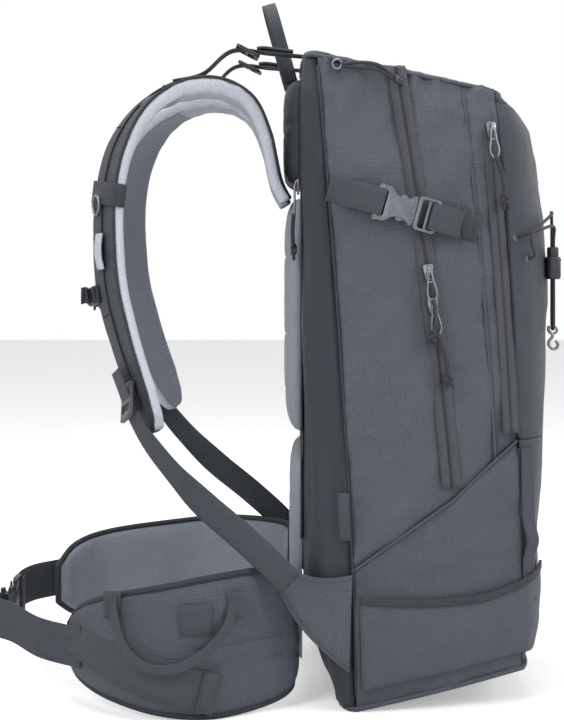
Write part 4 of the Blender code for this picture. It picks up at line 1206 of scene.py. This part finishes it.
def makeLifters():
    for name, side in hands.items():
        middle, _, _, out = strapFrame(lifter["share"])
        landing = middle + out * (strap["thickness"] / 2 + webbing["thick"] / 2 + 4 * gap)
        further, _, _, furtherOut = strapFrame(lifter["share"] + 0.06)
        second = further + furtherOut * (strap["thickness"] / 2 + webbing["thick"] / 2 + 3 * gap)
        packZ = rimZ(-0.02) + cloth + 2 * gap + webbing["thick"] / 2 + 0.004
        x = lifter["spacing"]
        points = [(x, -0.045, rimZ(-0.045) + cloth + 2 * gap + topDome * 0.9), (x, -0.006, packZ + 0.003),
                  (x + 0.002, 0.030, packZ + 0.006), (x + 0.005, 0.066, packZ + 0.008),
                  (landing.x, landing.y, landing.z + 0.001), tuple(second)]
        path = curvePath([worn(point, side) for point in points], 10)
        piece = addPiece("lifterWebbing" + name.title(), webbingMesh(path, [(1, 0, 0)], lifter["width"],
                         webbing["thick"]), tape, "bag")
        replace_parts(piece, f"lifter_webbing_{name}")
        a, b = worn(points[2], side), worn(points[3], side)
        lean, face = leaning(b - a, (0, 0, 1))
        lock = placed(ladderLock(lifter["width"], 0.024), localFrame(a.lerp(b, 0.6), lean, face))
        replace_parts(addPiece("lifterLock" + name.title(), lock, plastic, "bag"), f"lifter_buckle_{name}")
        wrap = [a.lerp(b, 0.35) + Vector((0, 0, 0.0035)), a.lerp(b, 0.15) + Vector((0, 0, 0.0045)),
                a.lerp(b, -0.25) + Vector((0, 0, 0.0035)), a.lerp(b, -0.6) + Vector((0, 0, 0.0030))]
        addPiece("lifterWrap" + name.title(), webbingMesh(curvePath(wrap, 6), [(1, 0, 0)], lifter["width"],
                 0.0022), tape, "bag")


wingX = backWidth / 2 + 0.0014
lowerRun = [(0.122, 0.136, 0.236), (0.128, 0.112, 0.208), (0.133, 0.086, 0.183), (0.137, 0.057, 0.159),
            (0.1405, 0.029, 0.134), (wingX, 0.002, 0.108), (wingX, -0.042, 0.080)]


def makeLowerStraps():
    for name, side in hands.items():
        middle, along, across, out = strapFrame(0.93)
        seat = middle + out * (strap["thickness"] / 2 + 0.0085)
        points = [seat - along * 0.030, seat - along * 0.012, seat + along * 0.014] + [Vector(p) for p in lowerRun]
        turns = [across, across, across, across * 0.8 + Vector((0, -0.15, 0.3)), Vector((0.45, -0.35, 0.6)),
                 Vector((0.15, -0.6, 0.75)), Vector((0.03, -0.66, 0.75)), Vector((0, -0.66, 0.75)),
                 Vector((0, -0.66, 0.75)), Vector((0, -0.03, 1))]
        path = curvePath([worn(p, side) for p in points], 10)
        allTurns = curvePath([turned(t, side) for t in turns], 10)
        last = len(path) - 10
        band = addPiece("lowerStrap" + name.title(), webbingMesh(path[:last + 3], allTurns, webbing["width"],
                        webbing["thick"]), tape, "bag")
        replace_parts(band, f"lower_strap_{name}")
        widths = [webbing["width"] * 1.05 + 0.061 * (index / 13) ** 1.2 for index in range(14)]
        skin = [point + Vector((side * 0.0010, 0, 0)) for point in path[last - 4:]]
        wing = addPiece("cornerWing" + name.title(), webbingMesh(skin, allTurns[last - 4:], widths, 0.0020),
                        lowerCloth, "bag")
        hem = [point + Vector((side * 0.0022, 0, 0)) for point in skin]
        for sign in (-1, 1):
            edge = [p + t.normalized() * sign * (w / 2 - 0.004)
                    for p, t, w in zip(hem, allTurns[last - 4:], widths)]
            addPiece(f"wingStitch{name.title()}{'Low' if sign < 0 else 'High'}",
                     stitchMesh(edge, [Vector((side, 0, 0))] * len(edge)), threadDark, "bag")
        lean, face = leaning(turned(along, side), turned(out, side))
        lock = placed(ladderLock(webbing["width"], 0.034), localFrame(worn(seat, side), lean, face))
        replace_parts(addPiece("strapAdjuster" + name.title(), lock, plasticWorn, "bag"), f"strap_adjuster_{name}")


# ---- hip fins ----

finPath = [(0.101, 0.0100), (0.117, 0.0125), (0.130, 0.038), (0.154, 0.082), (0.154, 0.128)]
finLevels = [(0.030, 0.110), (0.016, 0.122), (0.006, 0.126), (0.003, 0.124)]
finTips = {"left": [(0.006, 0.115), (0.012, 0.102), (0.020, 0.086), (0.034, 0.066)],
           "right": [(0.012, 0.120), (0.022, 0.114), (0.034, 0.106), (0.050, 0.088)]}


def finLines(name):
    reach = finReach[name]
    ends = [(0.128, reach * 0.80), (0.098, reach * 0.935), (0.076, reach)]
    line = curvePath([(x, y, 0) for x, y in finPath + ends], 14)
    heights = curvePath([(low, high, 0) for low, high in finLevels + finTips[name]], 14)
    return line, heights


def finAt(name, y, z, lift):
    line, _ = finLines(name)
    index = min(range(10, len(line) - 1), key=lambda i: abs(line[i].y - y))
    ahead = (line[index + 1] - line[index - 1]).normalized()
    out = Vector((ahead.y, -ahead.x, 0))
    side = hands[name]
    return worn(line[index] + out * (finThick / 2 + lift) + Vector((0, 0, z)), side), turned(out, side)


def makeFins():
    for name, side in hands.items():
        line, heights = finLines(name)
        rows = []
        count = len(line)
        columns = 26
        for index, point in enumerate(line):
            ahead = (line[min(index + 1, count - 1)] - line[max(index - 1, 0)]).normalized()
            out = Vector((ahead.y, -ahead.x, 0))
            low, high = heights[index].x, heights[index].y
            tip = min(1, (count - 1 - index) / 7, (index + 3) / 6) ** 0.5
            row = []
            for part in (1, -1):
                for step in range(columns):
                    h = step / columns if part > 0 else 1 - step / columns
                    body = max(1 - abs(2 * h - 1) ** 5, 0.02) ** 0.5 * max(tip, 0.15)
                    z = low + (high - low) * h
                    depth = finThick / 2 * body
                    if part > 0:
                        for groove in (0.067 - 0.05 * (point.y - 0.03), 0.050 - 0.06 * (point.y - 0.03)):
                            depth -= 0.0022 * math.exp(-((z - groove) / 0.0022) ** 2) * (point.y < 0.10)
                    ruck = 0.0009 * rumple((point.x, point.y * 1.4, z * 1.2 + part), 0.024, 4.0) * body
                    row.append(worn(point + out * part * (depth + ruck) + Vector((0, 0, z)), side))
            rows.append(row)
        work = loft(rows, closed=True)
        work.verts.ensure_lookup_table()
        for row in (0, count - 1):
            work.faces.new([work.verts[row * columns * 2 + index] for index in range(columns * 2)])
        piece = addPiece("hipFin" + name.title(), work, lowerCloth, "bag")
        piece.data.materials.append(mesh)
        for index, face in enumerate(piece.data.polygons):
            face.material_index = int(index % (columns * 2) >= columns) if index < (count - 1) * columns * 2 else 0
        soften(piece)
        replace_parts(piece, f"hip_fin_{name}")
        rim = [worn(p + Vector((0, 0, h.x)), side) for p, h in zip(line, heights)]
        rim += [worn(p + Vector((0, 0, h.y)), side) for p, h in reversed(list(zip(line, heights)))]
        addPiece("finBinding" + name.title(), tubeMesh(rim, 0.0030, 10, True), binding, "bag")
        makeFinTrim(name, side)


finTrim = {"loopTape": 0.009, "patch": 0.026, "panel": 0.036}


def makeFinTrim(name, side):
    tag = name.title()
    shift = finReach[name] - finReach["left"]
    hang = [(0.163, 0.104, 0.0006), (0.160, 0.092, 0.004), (0.150, 0.066, 0.007), (0.134, 0.050, 0.008),
            (0.112, 0.049, 0.008), (0.090, 0.062, 0.007), (0.073, 0.083, 0.005), (0.066, 0.102, 0.0006)]
    points = []
    outs = []
    for y, z, lift in hang:
        point, out = finAt(name, y + shift * 0.4, z, lift + 0.0010)
        points.append(point)
        outs.append(out)
    path = curvePath(points, 7)
    normals = curvePath(outs, 7)
    turns = []
    for index, normal in enumerate(normals):
        ahead = path[min(index + 1, len(path) - 1)] - path[max(index - 1, 0)]
        turns.append(normal.cross(ahead))
    addPiece("gearLoop" + tag, webbingMesh(path, turns, finTrim["loopTape"], 0.0020), tape, "bag")
    for y, top in ((0.163, 0.104), (0.066, 0.106)):
        tab = [finAt(name, y + shift * 0.4, z, 0.0022)[0] for z in spread(top + 0.006, top - 0.018, 6)]
        addPiece(f"gearTab{tag}{int(y * 1000)}", webbingMesh(tab, [Vector((0, 1, 0))] * 7, 0.016, 0.0018), tape, "bag")
    patch = [finAt(name, y + shift * 0.4, 0.090, 0.0018)[0] for y in spread(0.108, 0.082, 8)]
    addPiece("finPatch" + tag, webbingMesh(patch, [Vector((0, 0, 1))] * 9, finTrim["patch"], 0.0018), tape, "bag")
    shares = spread(0, 1, 30)
    band = []
    lean = []
    for share in shares:
        y = (0.205 + shift * 0.8) * (1 - share) + 0.078 * share
        z = 0.060 * (1 - share) + 0.0235 * share
        point, out = finAt(name, y, z, 0.0014)
        band.append(point)
        lean.append(Vector((0, -0.25, 1)))
    widths = [finTrim["panel"] * (0.80 + 0.2 * min(share * 3, 1)) for share in shares]
    addPiece("beltPanel" + tag, webbingMesh(band, lean, widths, 0.0022), tape, "bag")
    fold = [point + turned((0.0022, 0, 0), side) for point in band[-4:]]
    addPiece("beltHem" + tag, webbingMesh(fold, lean[-4:], finTrim["panel"], 0.0020), tape, "bag")
    for key, lines in {"Upper": 0.067, "Lower": 0.050}.items():
        run = [finAt(name, y, lines - (0.05 if key == "Upper" else 0.06) * (y - 0.03), -0.0016)
               for y in spread(0.020, 0.098, 30)]
        addPiece(f"finStitch{key}{tag}", stitchMesh([p for p, _ in run], [n for _, n in run], 0.0036, 0.0006),
                 threadDark, "bag")


# ---- haul loop ----

haul = {"half": 0.028, "y": 0.0100, "z": 0.5730, "height": 0.082, "width": 0.013}


def makeHaulLoop():
    lean = Vector((0, 0.27, 0.963))
    foot = Vector((0, haul["y"], haul["z"]))
    half, height = haul["half"], haul["height"]
    shape = [(-half, 0), (-half, height * 0.3), (-half, height * 0.55)]
    shape += [(-half * math.cos(a), height * 0.66 + height * 0.34 * math.sin(a))
              for a in spread(0.12, math.pi - 0.12, 7)]
    shape += [(half, height * 0.55), (half, height * 0.3), (half, 0)]
    path = curvePath([worn(foot + Vector((x, 0, 0)) + lean * z, 1) for x, z in shape], 8)
    across = lean.cross(Vector((1, 0, 0)))
    piece = addPiece("haulLoop", webbingMesh(path, [across], haul["width"], 0.0024), tape, "haul_loop")
    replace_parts(piece, "haul_loop")


# ---- zip sliders, pulls and cords ----

def pathLength(points):
    return sum((b - a).length for a, b in zip(points, points[1:]))


def knotMesh(centre, size, wire, turn):
    points = []
    for a in spread(0, 2 * math.pi, 54)[:-1]:
        local = Vector((math.sin(a) + 2 * math.sin(2 * a), math.cos(a) - 2 * math.cos(2 * a), -math.sin(3 * a)))
        points.append(centre + turn @ (local * size / 3))
    return tubeMesh(points, wire, 8, True)


def cordPull(name, bodyName, start, direction, out, length, tail=0.010):
    down = Vector(direction).normalized()
    out = Vector(out).normalized()
    side = out.cross(down).normalized()
    points = []
    for share in spread(0, 1, 20):
        sway = 0.0022 * math.sin(math.pi * share)
        points.append(start + down * length * share + side * sway + out * 0.0012 * math.sin(math.pi * share))
    cordPiece = addPiece(name, tubeMesh(points, 0.0019, 10), cordCloth, bodyName)
    turn = Matrix((side, down, out)).transposed()
    end = points[-1]
    knot = addPiece(name + "Knot", knotMesh(end, 0.0042, 0.0017, turn), cordCloth, bodyName)
    for sign in (-1, 1):
        run = [end + (down * 0.9 + side * sign * 0.35) * tail * share for share in spread(0, 1, 6)]
        addPiece(f"{name}Tail{'A' if sign < 0 else 'B'}", tubeMesh(run, 0.0014, 8), cordCloth, bodyName)
    pathLength(points)


def sliderMesh():
    body = plateMesh(smoothOutline([(-0.0070, 0.0026), (-0.002, 0.0040), (0.0045, 0.0048), (0.0070, 0.0030),
                                    (0.0070, -0.0030), (0.0045, -0.0048), (-0.002, -0.0040), (-0.0070, -0.0026)], 3),
                     [], 0.0020, 0.0007)
    lower = plateMesh(smoothOutline([(-0.0065, 0.0024), (0.0045, 0.0044), (0.0066, 0.0020), (0.0066, -0.0020),
                                     (0.0045, -0.0044), (-0.0065, -0.0024)], 3), [], 0.0016, 0.0005)
    bridge = tubeMesh([Vector((0.0055, 0, 0.001)), Vector((0.0045, 0, 0.0032)), Vector((0.0010, 0, 0.0040)),
                       Vector((-0.0035, 0, 0.0030)), Vector((-0.0045, 0, 0.001))], 0.0010, 8)
    return joined(placed(body, Matrix.Translation((0, 0, 0.0010))), placed(lower, Matrix.Translation((0, 0, -0.0017))),
                  bridge)


pull = {"length": 0.026, "width": 0.0085}


def pullMesh():
    length, half = pull["length"], pull["width"] / 2
    drop = [(0.0010, 0), (-0.001, half * 0.42), (-length * 0.35, half * 0.62), (-length * 0.68, half),
            (-length * 0.90, half * 0.78), (-length, 0), (-length * 0.90, -half * 0.78), (-length * 0.68, -half),
            (-length * 0.35, -half * 0.62), (-0.001, -half * 0.42)]
    ring = tubeMesh([Vector((x, y, 0)) for x, y in smoothOutline(drop, 4)], 0.00105, 8, True)
    bar = tubeMesh([Vector((-length * 0.34, -half * 0.55, 0)), Vector((-length * 0.34, half * 0.55, 0))], 0.0009, 8)
    return joined(ring, bar)


def onWall(u, wanted, side):
    v = wanted / bodyHeight
    for _ in range(8):
        v += (wanted - bagPoint(u, v, side).z) / bodyHeight
    return v


def zipSet(tag, node, seat, up, out, cordLength, lean=0.0):
    frameMatrix = localFrame(seat, up, out)
    slider = addPiece(tag + "Slider", placed(sliderMesh(), frameMatrix), metal, f"{node}_slider")
    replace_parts(slider, f"{node}_slider")
    hinge = frameMatrix @ Matrix.Translation((0, 0, 0.0042))
    handle = addPiece(tag + "Pull", placed(pullMesh(), hinge), metal, f"{node}_pull")
    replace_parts(handle, f"{node}_pull")
    turn = hinge.to_3x3()
    start = hinge @ Vector((-pull["length"] * 0.94, 0, 0.0008))
    down = turn @ Vector((-1, lean, 0.0))
    cordPull(tag + "Cord", f"{node}_pull", start, down, turn @ Vector((0, 0, 1)), cordLength)


def makeZipSets():
    lift = 3 * gap + 0.0012 + 0.00275
    for tag, node, z, cordLength in (("mainUpper", "main_upper", 0.392, 0.034), ("mainLower", "main_lower", 0.362, 0.042)):
        v = onWall(2, z, -1)
        up = bagPoint(2, v + 0.03, -1) - bagPoint(2, v - 0.03, -1)
        out = bagNormal(2, v, -1)
        zipSet(tag, node, bagPoint(2, v, -1) + out * lift, up, out, cordLength, 0.15 if node == "main_upper" else -0.1)
    v = onWall(2.9, 0.520, -1)
    up = bagPoint(2.9, v, -1) - bagPoint(2.9, v - 0.06, -1)
    out = bagNormal(2.9, v - 0.02, -1)
    zipSet("lidZip", "lid", bagPoint(2.9, v, -1) + out * (1.5 * gap + 0.00275), up, out, 0.040, -0.12)
    zipSet("backZip", "back_access", Vector((-0.1005, backY + gap + 0.00275, 0.470)), Vector((0, 0, 1)),
           Vector((0, 1, 0)), 0.034, 0.2)


def makeBackZip():
    rows = []
    centre = []
    levels = spread(0.150, 0.555, 50)
    for z in levels:
        middle = Vector((-0.1005, backY + 0.0003, z))
        rows.append(zipRow(middle, Vector((1, 0, 0)), Vector((0, 1, 0)), 0.016, 0.0003))
        centre.append(middle + Vector((0, 0.0009, 0)))
    thicken(addPiece("backZipTape", loft(rows), binding, "bag"), 0.0005, 0)
    addPiece("backZipCoil", coilMesh(centre, [Vector((0, 1, 0))] * 51, 0.004), plastic, "bag", smooth=False)


# ---- cord, lock and hook on the lid ----

lidCord = {"radius": 0.0015, "spacing": 0.009, "lock": (0.020, 0.013, 0.030)}


def makeLidCord():
    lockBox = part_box("cord_lock")
    centre = (Vector(lockBox[0]) + Vector(lockBox[1])) / 2
    x, y = centre.x, centre.y
    a = x - lidCord["spacing"] / 2
    b = x + lidCord["spacing"] / 2
    skin = lidCord["radius"] + gap + 0.0014
    first = bagPoint(3.12, onWall(3.12, 0.424, -1), -1) + bagNormal(3.12, 0.70, -1) * skin
    second = bagPoint(3.25, onWall(3.25, 0.404, -1), -1) + bagNormal(3.25, 0.66, -1) * skin
    route = [first, first + Vector((-0.006, -0.018, 0.006)), Vector((a - 0.004, y + 0.001, 0.434)),
             Vector((a, y, 0.420)), Vector((a, y, 0.385)), Vector((a, y, 0.345)), Vector((x, y, 0.3385)),
             Vector((b, y, 0.345)), Vector((b, y, 0.385)), Vector((b, y, 0.425)), Vector((b + 0.001, y, 0.440)),
             Vector((b - 0.002, y + 0.001, 0.447)), Vector((a - 0.006, y + 0.004, 0.444)),
             first + Vector((-0.012, -0.010, 0.001)), second + Vector((-0.003, -0.004, 0.004)), second]
    path = curvePath(route, 6)
    cordPiece = addPiece("shockCord", tubeMesh(path, lidCord["radius"], 10), cordCloth, "lid")
    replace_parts(cordPiece, "shock_cord")
    pathLength(path)
    barrel = plateMesh(roundRect(-0.0100, 0.0100, 0.0065, 0.0045), [], 0.021, 0.0022, 3)
    button = plateMesh(roundRect(-0.0070, 0.0070, 0.0048, 0.0035), [], 0.012, 0.0015, 3)
    ridge = plateMesh(roundRect(-0.0104, 0.0104, 0.0069, 0.0048), [], 0.0024, 0.0008)
    lock = joined(placed(barrel, Matrix.Translation((0, 0, -0.0045))), placed(button, Matrix.Translation((0, 0, 0.009))),
                  placed(ridge, Matrix.Translation((0, 0, 0.003))))
    piece = addPiece("cordLock", placed(lock, Matrix.Translation(centre)), plastic, "cord_lock")
    piece.data.set_sharp_from_angle(angle=math.radians(40))
    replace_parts(piece, "cord_lock")
    low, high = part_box("cord_hook")
    hx, hy, top = (low[0] + high[0]) / 2, (low[1] + high[1]) / 2, high[2]
    bend = [(0.0036, 0.0012), (0.0040, -0.0030), (0.0012, -0.0060), (0, -0.0088), (0.0030, -0.0125), (0.0036, -0.0165),
            (0, -0.0205), (-0.0042, -0.0190), (-0.0046, -0.0150), (-0.0026, -0.0128)]
    wire = curvePath([Vector((hx, hy + p, top - 0.0014 + q)) for p, q in bend], 7)
    eye = [Vector((hx, hy + 0.0040 * math.cos(t), top - 0.0042 + 0.0034 * math.sin(t)))
           for t in spread(0, 2 * math.pi, 24)[:-1]]
    hookPiece = addPiece("cordHook", joined(tubeMesh(wire, 0.0014, 10), tubeMesh(eye, 0.0012, 10, True)), metal,
                         "cord_hook")
    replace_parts(hookPiece, "cord_hook")
    for index, (u, z, point) in enumerate(((3.12, 0.424, first), (3.25, 0.404, second))):
        out = bagNormal(u, 0.68, -1)
        side = out.orthogonal().normalized()
        up = out.cross(side)
        ring = [point - out * 0.0012 + (side * math.cos(t) + up * math.sin(t)) * 0.0042
                for t in spread(0, 2 * math.pi, 24)[:-1]]
        addPiece(f"cordEyelet{index}", tubeMesh(ring, 0.0012, 8, True), metal, "lid")


def makeTopPuller():
    seat = Vector((-(backWidth / 2 - 0.012), backY - 0.030, rimZ(-0.03) - 0.004))
    seat.x = -sideX(-0.030, 0.572) - 0.0022
    ring = [seat + Vector((0, 0.0042 * math.cos(a), 0.0042 * math.sin(a))) for a in spread(0, 2 * math.pi, 20)[:-1]]
    addPiece("topRing", tubeMesh(ring, 0.0011, 8, True), metal, "bag")
    for index, drop in enumerate((0.0, 0.0045)):
        points = [seat + Vector((-0.0015, -0.004, -drop * 0.4)), seat + Vector((-0.0035, -0.018, 0.001 - drop)),
                  seat + Vector((-0.0030, -0.036, -0.001 - drop)), seat + Vector((-0.0022, -0.052, -0.012 - drop * 0.5))]
        path = curvePath(points, 8)
        cordPiece = addPiece(f"topCord{index}", tubeMesh(path, 0.0017, 8), cordCloth, "bag")
        tip = addPiece(f"topCordEnd{index}", tubeMesh([path[-1], path[-1] + (path[-1] - path[-2]).normalized() * 0.008],
                       0.0024, 10), plastic, "bag")
        pathLength(path)


makeSeams()
makePockets()
makeTabs()
print("stage: seams and pockets")
makePads()
makeShoulderStraps()
makeStrapExtras()
print("stage: shoulder straps")
makeSideStraps()
makeHipStrap()
makeSternum()
makeLifters()
makeLowerStraps()
makeFins()
makeHaulLoop()
print("stage: webbing, buckles and belt")
makeZipSets()
makeBackZip()
makeLidCord()
makeTopPuller()
print("stage: cords and pulls")


# ---- stage, light and camera ----

skyLevel = 0.42


def makeStage():
    work = bmesh.new()
    bmesh.ops.create_grid(work, x_segments=1, y_segments=1, size=6)
    floor = addPiece("floor", work, whiteFloor(), smooth=False)


def whiteFloor():
    finish = Finish("whiteFloor", 0.9)
    seen = finish.tree.nodes.new("ShaderNodeLightPath")
    glow = Field(finish.tree, seen.outputs["Is Camera Ray"]).tint((0, 0, 0), (0.34, 0.34, 0.34))
    finish.tree.links.new(glow.socket, finish.shader.inputs["Emission Color"])
    finish.shader.inputs["Emission Strength"].default_value = 1.0
    return finish.finish(finish.cloud(0.5).tint((0.93, 0.93, 0.93), (0.96, 0.96, 0.96)))


def makeWorld():
    world = bpy.data.worlds.new("studio")
    world.use_nodes = True
    bpy.context.scene.world = world
    tree = world.node_tree
    seen = tree.nodes.new("ShaderNodeLightPath")
    shine = tree.nodes["Background"]
    rays = [Field(tree, seen.outputs[f"Is {kind} Ray"]) for kind in ("Camera", "Glossy", "Transmission")]
    shown = rays[0].math("MAXIMUM", rays[1]).math("MAXIMUM", rays[2])
    strength = shown * (1 - skyLevel) + skyLevel
    tree.links.new(strength.socket, shine.inputs["Strength"])
    shine.inputs["Color"].default_value = (1, 1, 1, 1)


def areaLight(name, place, target, size, power):
    data = bpy.data.lights.new(name, "AREA")
    data.shape = "RECTANGLE"
    data.size, data.size_y = size
    data.energy = power
    lamp = bpy.data.objects.new(name, data)
    lamp.location = place
    lamp.rotation_euler = (Vector(target) - Vector(place)).to_track_quat("-Z", "Y").to_euler()
    bpy.context.scene.collection.objects.link(lamp)


eye = {"distance": 1.45, "height": 0.403, "y": backY + 0.019, "lens": 73.9, "drop": -0.139}


def makeCamera():
    data = bpy.data.cameras.new("camera")
    data.lens = eye["lens"]
    data.shift_y = eye["drop"]
    camera = bpy.data.objects.new("camera", data)
    camera.location = (-eye["distance"], eye["y"], eye["height"])
    camera.rotation_euler = (math.pi / 2, 0, -math.pi / 2)
    bpy.context.scene.collection.objects.link(camera)
    bpy.context.scene.camera = camera


def makeStudio():
    makeWorld()
    makeCamera()
    areaLight("keySoftbox", (-1.6, 1.3, 1.9), (0, 0, 0.3), (0.9, 1.3), 26)
    areaLight("rearSoftbox", (-0.8, -1.9, 1.3), (0, -0.1, 0.3), (0.7, 1.2), 20)
    areaLight("topSoftbox", (0, 0, 2.2), (0, 0, 0), (1.2, 1.2), 22)
    areaLight("fillSoftbox", (-2.4, -0.3, 0.5), (0, 0, 0.3), (1.2, 1.2), 5)
    bpy.context.scene.view_settings.view_transform = "Standard"


makeStage()
makeStudio()
print("stage: studio")
